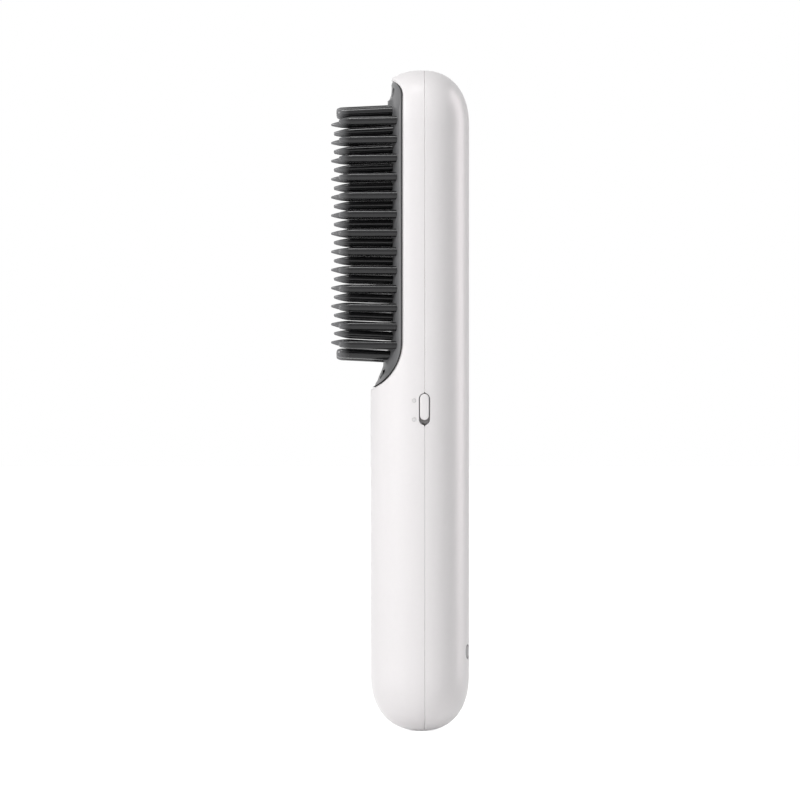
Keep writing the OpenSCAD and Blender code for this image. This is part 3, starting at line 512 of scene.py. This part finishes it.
def finish(
    name, base, rough=0.35, metal=0.0, shade=0.9, mottle=60.0, grain=900.0, bump=0.04, rough_play=0.12,
    coat=0.0, stretch=(1, 1, 1), gleam=0.5, sheen=0.0, depth=0.00004,
):  # fmt: skip
    """A moulded, cast or brushed surface: a slow mottle in the colour, from base to base times
    shade, a finer play in the roughness, and a grain in the relief, all on the piece's own place."""
    material = bpy.data.materials.new(name)
    material.use_nodes = True
    tree = material.node_tree
    place = wired(tree, "TexCoord")
    scaled = wired(tree, "Mapping", {"Scale": stretch}, {"Vector": place.outputs["Object"]})
    here = {"Vector": scaled.outputs["Vector"]}
    slow = wired(tree, "TexNoise", {"Scale": mottle, "Detail": 3.0}, here)
    fine = wired(tree, "TexNoise", {"Scale": grain, "Detail": 2.0}, here)
    ramp = wired(tree, "ValToRGB", (), {"Fac": slow.outputs["Fac"]})
    dark, pale = ramp.color_ramp.elements
    dark.position, pale.position = 0.3, 0.7
    dark.color, pale.color = (*(c * shade for c in base), 1), (*base, 1)
    limits = {"To Min": rough * (1 - rough_play), "To Max": rough * (1 + rough_play)}
    gloss = wired(tree, "MapRange", limits, {"Value": slow.outputs["Fac"]})
    relief = wired(tree, "Bump", {"Strength": bump, "Distance": depth}, {"Height": fine.outputs["Fac"]})
    levels = {"Metallic": metal, "Coat Weight": coat, "Coat Roughness": 0.12}
    levels |= {"Specular IOR Level": gleam, "Sheen Weight": sheen}
    feeds = {
        "Base Color": ramp.outputs["Color"],
        "Roughness": gloss.outputs["Result"],
        "Normal": relief.outputs["Normal"],
    }
    wired(tree, tree.nodes["Principled BSDF"], levels, feeds)
    return material


def fade(material, start, end, highlight_colour):
    """Turns the material's colour into another one along -X, from start to end in the handle's own
    frame, as on the points of the teeth, which it paints paler as a painted highlight."""
    tree = material.node_tree
    shader = tree.nodes["Principled BSDF"]
    before = shader.inputs["Base Color"].links[0].from_socket
    place = wired(tree, "TexCoord")
    apart = wired(tree, "SeparateXYZ", (), {"Vector": place.outputs["Object"]})
    limits = {"From Min": (start + SHIFT_X) * MM, "From Max": (end + SHIFT_X) * MM}
    share = wired(tree, "MapRange", limits, {"Value": apart.outputs["X"]})
    share.interpolation_type = "SMOOTHSTEP"
    mix = tree.nodes.new("ShaderNodeMix")
    mix.data_type = "RGBA"
    wired(tree, mix, {"B": (*highlight_colour, 1)}, {"Factor": share.outputs["Result"], "A": before})
    wired(tree, shader, (), {"Base Color": mix.outputs["Result"]})


def dress(obj, material):
    """Puts one material in every slot of a piece."""
    if not obj.data.materials:
        obj.data.materials.append(material)
    for k in range(len(obj.data.materials)):
        obj.data.materials[k] = material


# How the white mouldings differ from finish's own values
WHITE_PLASTIC = dict(gleam=0.3, shade=0.99, mottle=900, grain=1600, bump=0.03, rough_play=0.05)


# Pieces


class BRUSH_OT_case(bpy.types.Operator):
    """Builds the two shells of the case, smooth, with their opening, seam, slot, indicator holes and
    charging recess, each with a rounded edge"""

    bl_idname = "brush.case"
    bl_label = "Case"

    def execute(self, context):
        s, c = sizes("brush_case"), sizes("brush_controls")
        oval = OvalCase(s)
        far, half_gap, back_x = 50.0, 0.02, 5

        def near_side(p, distance):
            """The distance on the switch's side of the case, and far on its other side."""
            return np.where(p[..., 1] < 0, distance, far)

        def opening(p):
            """Distance outside the head's opening."""
            return opening_distance(p, s)

        def front_seam(p):
            """Distance in front of the seam, less half its gap."""
            return s["seam"] - half_gap - p[..., 0]

        def rear_seam(p):
            """Distance behind the seam, less half its gap."""
            return p[..., 0] - s["seam"] - half_gap

        def slot(p):
            """Distance outside the switch's slot, a flat oval along the handle."""
            along, across = p[..., 2] - c["switch_z"], p[..., 0] - c["switch_x"]
            return near_side(p, pill_distance(along, across, c["slot_l"] / 2, c["slot_w"] / 2))

        def lamps(p):
            """Distance outside the nearer of the indicators' round holes."""
            d = [
                np.hypot(p[..., 0] - LAMP_X, p[..., 2] - c["switch_z"] - h) - c["lamp_d"] / 2
                for h in LAMP_HEIGHTS.values()
            ]
            return near_side(p, np.minimum(*d))

        def port(p):
            """Distance outside the charging recess, a flat oval across the case's back."""
            d = pill_distance(p[..., 1], p[..., 2] - c["port_z"], c["port_w"] / 2, c["port_h"] / 2)
            return np.where(p[..., 0] > back_x, d, far)

        def angle_size(a):
            """Points round the case's middle, and their steps: fine at the seam, and at the port."""
            middle, seam_x, seam_half, port_half = 1.5, 0.2, 3.8, 8.4
            fine, medium, plain = 0.24, 0.5, 0.75
            p = oval.at(a, middle + 0 * a)
            seam = (p[:, 1] < 0) & (np.abs(p[:, 0] - seam_x) < seam_half)
            behind = (p[:, 0] > 0) & (np.abs(p[:, 1]) < port_half)
            return p, np.where(seam, fine, np.where(behind, medium, plain))

        def level_size(v):
            """Points up the case's front, and their steps: fine at the ends, and at each cut."""
            p = oval.at(math.pi + 0 * v, v)
            z = p[:, 2]
            size = np.full(len(z), 1.9)
            for low, high, step in (
                (-1, 19, 0.8),
                (191, 211, 0.8),
                (22.4, 28.2, 0.35),
                (96.6, 108.0, 0.27),
                (108.0, 123.5, 0.5),
                (197.5, 208.5, 0.4),
            ):
                size[(z > low) & (z < high)] = step
            return p, size

        # The grid starts a little off the axis, and ends a little before the poles
        off_axis, off_pole = 0.0007, 0.012
        angles = spread(0, FULL_TURN, angle_size, True) + off_axis
        levels = spread(off_pole, 3 - off_pole, level_size, False)
        rim_band, seam_band = s["rim_round"] / EDGE_SHARE, s["seam_round"] / EDGE_SHARE
        slot_band, lamp_band, port_band = 0.4, 0.2, 0.55
        white = finish("case_white", tint("case"), 0.36, **WHITE_PLASTIC)
        front_cuts = [(opening, rim_band), (front_seam, seam_band), (slot, slot_band), (lamps, lamp_band)]
        rear_cuts = [(rear_seam, seam_band), (slot, slot_band), (port, port_band)]
        front = trimmed_case(oval, front_cuts, angles, levels, s["wall"])
        rear = trimmed_case(oval, rear_cuts, angles, levels, s["wall"])
        for name, node, (points, faces, normals) in (
            ("case_front", "front_shell", front),
            ("case_rear", "rear_shell", rear),
        ):
            dress(build(name, points, faces, "case", "case_white", [node], normals), white)
        return {"FINISHED"}


def tooth_form(reach, root, half_t, half_w, taper, tip_t, tip_w, curve, steps=18, rows=12):
    """A tooth along -x: a flat oval section, as thick and wide as given up to its last stretch, then
    drawn in as one minus a power of the share of that stretch, and closed by a quarter of an
    ellipse. tip_t and tip_w are half the thickness and half the width there."""
    cap = min(0.5, tip_t * 1.3)
    straight = np.linspace(-root, reach - taper, 4)
    u = np.linspace(0, 1, rows)[1:]
    end = taper - cap
    s = np.concatenate([straight, reach - taper + end * u])
    share = np.clip((s - reach + taper) / taper, 0, 1)
    t = tip_t + (half_t - tip_t) * (1 - share**curve)
    w = tip_w + (half_w - tip_w) * (1 - share**curve)
    round_off = np.linspace(0, math.pi / 2, 5)[1:-1]
    s = np.concatenate([s, reach - cap + cap * np.sin(round_off)])
    t = np.concatenate([t, t[-1] * np.cos(round_off)])
    w = np.concatenate([w, w[-1] * np.cos(round_off)])
    a = (np.arange(steps) + 0.5) * FULL_TURN / steps
    y = np.sign(np.cos(a)) * (w - t)[:, None] + t[:, None] * np.cos(a)
    z = t[:, None] * np.sin(a)
    x = -s[:, None] + 0 * a
    rings = np.stack([x, y, z], -1)
    points, faces = tube(rings, high_cap=False)
    last = len(points) - steps + np.arange(steps)
    tip = np.array([[-reach, 0, 0]])
    fan = np.stack([last, np.roll(last, -1), np.full(steps, len(points))], -1)
    return np.concatenate([points, tip]), faces + [fan]


def place_teeth(form, places):
    """Copies of a tooth at places of x, y, z and lean, the lean turning it about y."""
    points, faces = form
    places = np.asarray(places, float)
    c, s = np.cos(places[:, 3])[:, None], np.sin(places[:, 3])[:, None]
    x, y, z = points.T
    moved = np.stack(
        [
            x * c + z * s + places[:, 0:1],
            y + 0 * c + places[:, 1:2],
            -x * s + z * c + places[:, 2:3],
        ],
        -1,
    )
    n = len(points)
    step = np.arange(len(places))[:, None, None] * n
    return moved.reshape(-1, 3), [(f[None] + step).reshape(-1, f.shape[1]) for f in faces]


# Side view of the cover: heights with the outline's place there, and heights with what the two seats
# of the end teeth add to it
COVER_OUTLINE = (
    (109.3, -14.45), (110.5, -14.06), (111.5, -13.45), (112.7, -13.05), (114.6, -12.2), (116, -11.7),
    (118, -10.9), (120, -9.95), (121.5, -9.35), (123, -9.1), (195, -9.1), (201.4, -9.25),
    (203, -9.03), (204.4, -8.97), (205.3, -9.05), (206, -8.85), (206.5, -8.5), (206.75, -8.2),
)  # fmt: skip
COVER_SEATS = (
    (116, 0), (117.5, 0.5), (119, 0.9), (120.8, 1.6), (121.2, 0),
    (195.3, 0), (195.6, 1.05), (200.2, 1.05), (200.7, 0.45), (201.4, 0.15), (202.2, 0),
)  # fmt: skip
SCREW_PLACES = ((113.4, 5.5), (202.8, 5.5))


def smooth_step(low, high, v):
    """From 0 at low to 1 at high as 3 t^2 - 2 t^3, where t is the share of the way."""
    t = np.clip((v - low) / (high - low), 0, 1)
    return t * t * (3 - 2 * t)


def cover_rings(s, oval):
    """Level sections of the comb cover. Each spans the opening from edge to edge: its height over the
    edge is the outline's there, times (1 - r^m)^(1/n), where r is the share of the half width, and
    m and n are 2 between the ears. The seats add to it near the middle, and the screws' wells are
    sunk into it. Side walls and a back close the section."""
    ear_low, ear_high, fine, coarse = 122, 195, 0.17, 3.0
    bottom, top = COVER_OUTLINE[0][0], COVER_OUTLINE[-1][0]
    lower, upper = np.arange(bottom, ear_low, fine), np.arange(ear_high, top - 0.05, fine)
    z = np.concatenate([lower, np.arange(ear_low, ear_high, coarse), upper, [top]])
    # Across the cover, and a little closer together towards its edges
    across, closer = 171, 0.25
    t = np.linspace(-1, 1, across)
    t = np.sin(t * math.pi / 2) * closer + t * (1 - closer)
    sunk_low = np.clip(s["low_z"] - z, 0, s["low_r"])
    sunk_high = np.clip(z - s["high_z"], 0, s["high_r"])
    edge = -s["rim"] - s["low_r"] + np.sqrt(s["low_r"] ** 2 - sunk_low**2)
    edge = edge - s["high_r"] + np.sqrt(s["high_r"] ** 2 - sunk_high**2)
    u = np.maximum(np.maximum(oval.end - z, z - oval.length + oval.end), 0) / oval.end
    o, q = oval.oval_round, oval.end_round
    room = (1 - u**q) ** (o / q) - np.abs((edge - oval.widest) / oval.depth(edge)) ** o
    # The side walls stay this far inside the case's surface, and their ends are rounded
    inside, end_r, least = 2.1, 2.2, 0.15
    half = oval.half_w * np.maximum(room, 0) ** (1 / o) - inside
    from_end = np.minimum(np.minimum(z - z[0], z[-1] - z) / end_r, 1)
    half = np.maximum(half * np.sqrt(1 - (1 - from_end) ** 2), least)
    # How far the edge lies in front of the rim, how little it may rise, and how deep the walls go
    before, rise, lip, walls = 0.4, 0.02, 0.3, 1.4
    edge = edge - before
    outline = np.minimum(np.interp(z, *np.array(COVER_OUTLINE).T), edge - rise)
    seat = np.interp(z, *np.array(COVER_SEATS).T)
    low, high = 1 - smooth_step(115, 122, z), smooth_step(197, 202, z)
    m = (2 - 0.5 * low)[:, None]
    n = (2 - 0.9 * low - 0.8 * high)[:, None]
    y = half[:, None] * t
    over = (1 - np.abs(t) ** m) ** (1 / n)
    x = edge[:, None] + (outline - edge)[:, None] * over
    seat_half, seat_foot = 4.4, 7.0
    x = x - seat[:, None] * (1 - smooth_step(seat_half, seat_foot, np.abs(y)))
    well_r, well_foot, well_deep = 1.3, 1.5, 1.2
    for screw_z, screw_y in SCREW_PLACES:
        r = np.hypot(np.abs(y) - screw_y, z[:, None] - screw_z)
        x = x + well_deep * (1 - smooth_step(well_r, well_foot, r))
    x = np.minimum(x, edge[:, None] + lip)
    back = (edge + walls)[:, None]
    x = np.concatenate([back, x, back], 1)
    y = np.concatenate([y[:, :1], y, y[:, -1:]], 1)
    return np.stack([x, y, z[:, None] + 0 * x], -1)


def groove_shade_band(rings):
    """A thin black band of painted shade round the cover's side walls, in the groove between the cover
    and the case's rim: up the near one and down the far one, each of its sections a small rectangle
    that stands thick out from the wall, and reaches back from first to last behind the cover's edge."""
    thick, first, last = 0.12, 0.02, 1.3
    path = np.concatenate([rings[:, 1], rings[::-1, -2]])
    out = np.repeat([-thick, thick], len(rings))
    section = np.array([[first, 0], [first, 1], [last, 1], [last, 0]])
    x = path[:, 0:1] + section[:, 0]
    y = path[:, 1:2] + out[:, None] * section[:, 1]
    points = np.stack([x, y, path[:, 2:3] + 0 * x], -1)
    return points.reshape(-1, 3), [loop_faces(*points.shape[:2])]


class BRUSH_OT_cover(bpy.types.Operator):
    """Builds the dark grey cover that the teeth stand on, with its two ears, seats and screw wells, and
    the thin black band round it that paints the shade in the groove at its edge"""

    bl_idname = "brush.cover"
    bl_label = "Cover"

    def execute(self, context):
        s = sizes("brush_case")
        grey = finish("cover_grey", tint("cover"), 0.4, shade=0.9, mottle=300, grain=1400, bump=0.08)
        rings = cover_rings(s, OvalCase(s))
        # A black band in the groove round the cover's edge, as painted shade
        black = finish("seal_black", (0.012, 0.012, 0.012), 0.6, mottle=400, grain=1400, bump=0.1)
        dress(build("cover_seal", *groove_shade_band(rings), "case", "tongue_black", sharp=40), black)
        skin = build("comb_cover_skin", *tube(rings), "case", "cover_grey", ["comb_cover"], sharp=35)
        dress(skin, grey)
        return {"FINISHED"}


class BRUSH_OT_teeth(bpy.types.Operator):
    """Builds the hot, guard and end teeth, with rounded flanks and points painted paler as a highlight"""

    bl_idname = "brush.teeth"
    bl_label = "Teeth"

    def execute(self, context):
        s = sizes("brush_teeth")
        crest, field, half_rows = -9.1, 158.1, 6.0
        half_t = s["thick"] / 2
        black = finish(
            "tooth_black", tint("tooth"), 0.17, shade=0.7, mottle=300, grain=1500, bump=0.05, gleam=0.4
        )
        # Painted highlight: the points turn paler towards their ends
        fade(black, -22.0, -26.8, tint("tooth_tip_highlight"))

        def column(col, count, fan):
            """Places of a column's teeth. Each leans out by fan degrees at the last full row."""
            r = np.arange(count) - (count - 1) / 2
            lean = -np.radians(fan) * r / half_rows
            y, z = col * s["col_pitch"], field + r * s["row_pitch"]
            return np.stack([0 * r + crest, 0 * r + y, z, lean], -1)

        def hot(reach, taper):
            """A pointed tooth, with its root in the cover."""
            return tooth_form(
                reach, 3.2, half_t, s["wide"] / 2, taper=taper, tip_t=0.3, tip_w=0.6, curve=1.9
            )

        middle, beside = hot(s["mid_reach"], 6.0), hot(s["side_reach"], 5.8)
        guard = tooth_form(
            s["guard_reach"], 3.4, half_t, s["guard_wide"] / 2, taper=4.6, tip_t=0.6, tip_w=1.1, curve=1.7
        )
        made = {
            "middle_teeth": place_teeth(middle, column(0, 13, 3)),
            "side_teeth_near": place_teeth(beside, column(-1, 12, 3)),
            "side_teeth_far": place_teeth(beside, column(1, 12, 3)),
            "guard_teeth_near": place_teeth(guard, column(-2, 13, 1)),
            "guard_teeth_far": place_teeth(guard, column(2, 13, 1)),
        }
        # Three end teeth at each end, 5.4 mm apart, the middle one further out by twice the arc
        end_off, end_arc, end_apart, end_lean = 39.05, 0.35, 5.4, math.radians(2.7)
        for name, seat, way in (("end_teeth_top", -10.15, 1), ("end_teeth_bottom", -11.2, -1)):
            reach = s["end_reach"] - (crest - seat)
            form = tooth_form(reach, 2.4, 1.55, 1.95, taper=2.2, tip_t=0.9, tip_w=1.1, curve=2.6)
            places = [
                [seat, k * end_apart, field + way * (end_off + arc), -end_lean * way]
                for k, arc in ((-1, -end_arc), (0, end_arc), (1, -end_arc))
            ]
            made[name] = place_teeth(form, places)
        for node, (points, faces) in made.items():
            dress(build("comb_" + node, points, faces, "case", "tooth_black", [node], sharp=50), black)
        return {"FINISHED"}


def knob_form(half_l, half_w, top, foot, edge, dome):
    """A knob along y: a flat oval drawn up from foot to top, its edge turned over by a quarter
    circle, and its face raised by dome as the square of the distance from its rim."""
    turn = np.linspace(0, math.pi / 2, 7)
    face = np.linspace(0, 1, 6)[1:-1]
    inset = np.concatenate([[0.0], edge * (1 - np.cos(turn)), edge + (half_w - edge) * face])
    high = np.concatenate([[foot], top + edge * (1 - np.sin(turn)), np.full(len(face), top)])
    share = np.clip((inset - edge) / (half_w - edge), 0, 1)
    high = high - dome * (1 - (1 - share) ** 2)
    rings = []
    for i, y in zip(inset, high):
        ring = pill_ring(half_l - i, half_w - i, 48)
        rings.append(np.stack([ring[:, 1], np.full(len(ring), y), ring[:, 0]], -1))
    return tube(np.stack(rings)[:, ::-1])


class BRUSH_OT_knob(bpy.types.Operator):
    """Builds the slide switch's knob, the plate under it that closes the slot, painted dark grey as
    the shade in the slot, and the lenses of the two indicators"""

    bl_idname = "brush.knob"
    bl_label = "Knob"

    def execute(self, context):
        s = sizes("brush_controls")
        half_l, half_w = s["knob_l"] / 2, s["knob_w"] / 2
        # At rest the knob is half its travel above the slot's middle. The plate under it reaches
        # further than the knob at each end and at each side
        up, plate_l, plate_w, lens_gap = 0.7, 1.2, 0.85, 0.05
        place = [s["switch_x"], 0, s["switch_z"] + up]
        white = finish("slider_white", tint("case"), 0.3, **WHITE_PLASTIC)
        points, faces = knob_form(half_l, half_w, top=-18.25, foot=-15.0, edge=0.35, dome=0.05)
        knob = build(
            "power_knob", points + place, faces, "slider", "slider_white", ["power_slider"], sharp=50
        )
        dress(knob, white)
        # The plate under the knob is dark grey as painted shade in the gap round the knob
        dark = finish("switch_black", (0.27, 0.262, 0.262), 0.4, mottle=500, grain=1200, bump=0.08)
        points, faces = knob_form(
            half_l + plate_l, half_w + plate_w, top=-16.1, foot=-15.1, edge=0.1, dome=0
        )
        dress(build("power_guide", points + place, faces, "slider", "switch_black", sharp=50), dark)
        lens = finish("light_pipe", tint("lens"), 0.25, shade=0.97, mottle=900, grain=1500, bump=0.02)
        radius = s["lamp_d"] / 2 - lens_gap
        points, faces = knob_form(radius, radius, top=-17.82, foot=-16.5, edge=0.1, dome=0)
        for name, h in LAMP_HEIGHTS.items():
            moved = points + [LAMP_X, 0, s["switch_z"] + h]
            dress(build("indicator_lens_" + name, moved, faces, "case", "light_pipe", sharp=50), lens)
        return {"FINISHED"}


class BRUSH_OT_port(bpy.types.Operator):
    """Builds the bezel of the charging port, a flat oval ring that stands a little proud of the
    domed back, and slopes in to the receptacle's mouth"""

    bl_idname = "brush.port"
    bl_label = "Port"

    def execute(self, context):
        s, c = sizes("brush_case"), sizes("brush_controls")
        oval = OvalCase(s)
        gap, mouth_l, mouth_h, deep, steps = 0.12, 4.6, 1.76, 4.6, 96
        half_l, half_h = c["port_w"] / 2, c["port_h"] / 2
        outer_l, outer_h = half_l - gap, half_h - gap
        # The face is flat out to flat_l from its middle, and bends over to the domed back from there
        flat, flat_l = oval.half_d - 0.12, 4.9
        o, q = oval.oval_round, oval.end_round
        # Each ring: how far it is drawn in from the outer edge, as a share of the way to the mouth,
        # and how far it lies under the bezel's face
        rings = []
        for share, under in (
            (0, deep), (0, 0.12), (0.06, 0.02), (0.5, 0), (0.93, 0.03), (1, 0.12), (1, deep),
        ):  # fmt: skip
            ring_l = outer_l * (1 - share) + mouth_l * share
            ring_h = outer_h * (1 - share) + mouth_h * share
            ring = pill_ring(ring_l, ring_h, steps)
            y, z = ring[:, 0], c["port_z"] + ring[:, 1]
            u = np.maximum(oval.end - z, 0) / oval.end
            room = (1 - u**q) ** (o / q) - np.abs(y / oval.half_w) ** o
            dome = s["widest"] + (oval.half_d - s["widest"]) * np.maximum(room, 0) ** (1 / o)
            x = dome + (flat - dome) * (1 - smooth_step(flat_l, half_l, np.abs(y))) - under
            if under == deep:
                x = 0 * x + oval.half_d - deep
            rings.append(np.stack([x, y, z], -1))
        points = np.concatenate(rings)
        faces = [loop_faces(len(rings), steps)]
        grey = finish("bezel_grey", (0.4, 0.4, 0.405), rough=0.6, mottle=500, grain=1400, bump=0.1)
        dress(build("port_ring", points, faces, "case", "bezel_grey", ["port_bezel"], sharp=35), grey)
        return {"FINISHED"}


class BRUSH_OT_finishes(bpy.types.Operator):
    """Gives every CAD node that still shows, and each one inside, its own finish"""

    bl_idname = "brush.finishes"
    bl_label = "Finishes"

    def execute(self, context):
        plastic = {"grain": 1200, "bump": 0.08}
        looks = {
            "screw_dark": ((0.03, 0.03, 0.032), 0.35, {"metal": 0.9, "mottle": 900}),
            "screw_steel": ((0.56, 0.56, 0.58), 0.3, {"metal": 1, "mottle": 900}),
            "heater_aluminium": ((0.6, 0.61, 0.63), 0.4, {"metal": 1, "bump": 0.2}),
            "ceramic_white": ((0.8, 0.8, 0.77), 0.5, {"bump": 0.1}),
            "spring_steel": ((0.55, 0.55, 0.57), 0.25, {"metal": 1, "stretch": (1, 1, 12)}),
            "shield_cream": ((0.62, 0.57, 0.44), 0.6, {"mottle": 400, "bump": 0.3}),
            "fuse_sleeve": ((0.7, 0.69, 0.63), 0.25, {}),
            "sensor_bead": ((0.45, 0.14, 0.03), 0.2, {"coat": 0.5}),
            "lead_red": ((0.45, 0.02, 0.02), 0.5, {"sheen": 0.2}),
            "lead_blue": ((0.02, 0.04, 0.36), 0.5, {"sheen": 0.2}),
            "led_resin": ((0.75, 0.68, 0.35), 0.2, {"coat": 0.5}),
            "board_green": ((0.015, 0.14, 0.05), 0.3, {"mottle": 500, "coat": 0.4}),
            "chip_black": ((0.02, 0.02, 0.02), 0.5, plastic),
            "can_aluminium": ((0.6, 0.6, 0.62), 0.3, {"metal": 1, "stretch": (8, 1, 1)}),
            "frame_grey": ((0.5, 0.5, 0.48), 0.45, plastic),
            "cell_wrap": ((0.02, 0.1, 0.34), 0.22, {"shade": 0.95, "coat": 0.4}),
            "nickel": ((0.6, 0.57, 0.52), 0.3, {"metal": 1, "bump": 0.1}),
            "foam_black": ((0.02, 0.02, 0.02), 0.9, {"bump": 0.8, "depth": 0.0003}),
            "port_steel": ((0.5, 0.5, 0.52), 0.28, {"metal": 1, "stretch": (1, 6, 1)}),
            "tongue_black": ((0.012, 0.012, 0.012), 0.45, plastic),
        }
        made = {name: finish(name, base, rough, **more) for name, (base, rough, more) in looks.items()}
        # The other slots have their finish from the piece that is built for them
        for row in frame["record"]["subparts"]:
            slot = row["material_slot"]
            dress(frame["nodes"][row["node"]], made.get(slot) or bpy.data.materials[slot])
        return {"FINISHED"}


# Stage


class BRUSH_OT_stage(bpy.types.Operator):
    """Sets the pale floor, the soft lamps, the white surroundings and the camera"""

    bl_idname = "brush.stage"
    bl_label = "Stage"

    def execute(self, context):
        scene = context.scene
        scene.view_settings.view_transform = "Standard"
        half = 9.0
        mesh = bpy.data.meshes.new("floor")
        corners = np.array([[-half, -half, 0], [half, -half, 0], [half, half, 0], [-half, half, 0]])
        mesh.from_pydata(corners.tolist(), [], [[0, 1, 2, 3]])
        floor = bpy.data.objects.new("floor", mesh)
        scene.collection.objects.link(floor)
        dress(floor, self.floor_material())
        self.surroundings(scene)
        middle = Vector((0, 0, 0.1052))
        for name, way, far, wide, high, power, hue in (
            ("key", (-1.0, -0.75, 0.55), 1.3, 0.45, 0.6, 9.3, (1, 1, 1)),
            ("fill", (0.35, -1.0, 0.1), 1.5, 0.9, 0.9, 4.4, (1, 1, 1)),
            ("strip", (0.92, 0.38, 0.05), 0.9, 0.45, 1.4, 13.0, (1, 0.93, 0.945)),
            ("top", (-0.1, -0.25, 1.0), 1.2, 0.3, 0.3, 3.2, (1, 1, 1)),
        ):
            lamp = bpy.data.lights.new(name, "AREA")
            lamp.shape = "RECTANGLE"
            lamp.size, lamp.size_y = wide, high
            lamp.energy, lamp.color = power, hue
            obj = bpy.data.objects.new(name, lamp)
            scene.collection.objects.link(obj)
            obj.location = middle + Vector(way).normalized() * far
            obj.rotation_euler = Vector(way).to_track_quat("Z", "Y").to_euler()
            # The strip is only there to be mirrored along the handle's back, and the fill never is
            obj.visible_diffuse = name != "strip"
            obj.visible_glossy = name != "fill"
        turn, distance, shown, sensor = math.radians(-0.4), 2.3, 0.2545, 36.0
        camera = bpy.data.objects.new("camera", bpy.data.cameras.new("camera"))
        scene.collection.objects.link(camera)
        camera.location = middle + Vector((math.sin(turn), -math.cos(turn), 0)) * distance
        camera.rotation_euler = (math.pi / 2, 0, turn)
        camera.data.sensor_width = sensor
        camera.data.lens = sensor * distance / shown
        camera.data.clip_start, camera.data.clip_end = 0.05, 20.0
        scene.camera = camera
        return {"FINISHED"}

    def floor_material(self):
        """White, and a little lit for the camera and for reflections, so that it meets the white
        surroundings and keeps the shadow."""
        material = bpy.data.materials.new("floor_white")
        material.use_nodes = True
        tree = material.node_tree
        white = {"Base Color": (0.9, 0.9, 0.9, 1), "Roughness": 0.9, "Emission Color": (1, 1, 1, 1)}
        glow = {"Emission Strength": self.seen(tree, 0.8)}
        wired(tree, tree.nodes["Principled BSDF"], white, glow)
        return material

    def calc(self, tree, operation, values, feeds):
        """The outcome of a Math node."""
        node = wired(tree, "Math", values, feeds)
        node.operation = operation
        return node.outputs[0]

    def seen(self, tree, strength):
        """strength for the camera, for reflections and for what is seen through a piece, or else 0."""
        path = wired(tree, "LightPath")
        total = path.outputs["Is Camera Ray"]
        for other in ("Is Glossy Ray", "Is Transmission Ray"):
            total = self.calc(tree, "MAXIMUM", (), {0: total, 1: path.outputs[other]})
        return self.calc(tree, "MULTIPLY", {1: strength}, {0: total})

    def surroundings(self, scene):
        """A plain level of light from all round, plus what makes it white where it is looked at."""
        even, looked_at = 0.3, 0.7
        world = bpy.data.worlds.new("surroundings")
        scene.world = world
        world.use_nodes = True
        tree = world.node_tree
        level = self.calc(tree, "ADD", {1: even}, {0: self.seen(tree, looked_at)})
        wired(tree, tree.nodes["Background"], {"Color": (1, 1, 1, 1)}, {"Strength": level})


class BRUSH_PT_panel(bpy.types.Panel):
    """Lists the brush's pieces and sizes"""

    bl_label = "Hair straightening brush"
    bl_idname = "BRUSH_PT_panel"
    bl_space_type = "VIEW_3D"
    bl_region_type = "UI"
    bl_category = "Brush"

    def draw(self, context):
        layout = self.layout
        for operator in OPERATORS:
            layout.operator(operator.bl_idname)
        for group, kind in SETTINGS.items():
            box = layout.box()
            box.label(text=kind.__doc__)
            for name in kind.__annotations__:
                box.prop(getattr(context.scene, group), name)


OPERATORS = (
    BRUSH_OT_stage,
    BRUSH_OT_case,
    BRUSH_OT_cover,
    BRUSH_OT_teeth,
    BRUSH_OT_knob,
    BRUSH_OT_port,
    BRUSH_OT_finishes,
)
CLASSES = (*SETTINGS.values(), *OPERATORS, BRUSH_PT_panel)


def register():
    """Makes the sizes, operators and panel known."""
    for kind in CLASSES:
        bpy.utils.register_class(kind)
    for name, kind in SETTINGS.items():
        setattr(bpy.types.Scene, name, bpy.props.PointerProperty(type=kind))


def unregister():
    """Takes them away again."""
    for name in SETTINGS:
        delattr(bpy.types.Scene, name)
    for kind in reversed(CLASSES):
        bpy.utils.unregister_class(kind)


def main():
    """Builds the stage and every piece."""
    register()
    bpy.ops.brush.stage()
    bpy.ops.brush.case()
    bpy.ops.brush.cover()
    bpy.ops.brush.teeth()
    bpy.ops.brush.knob()
    bpy.ops.brush.port()
    bpy.ops.brush.finishes()


if __name__ == "__main__":
    main()
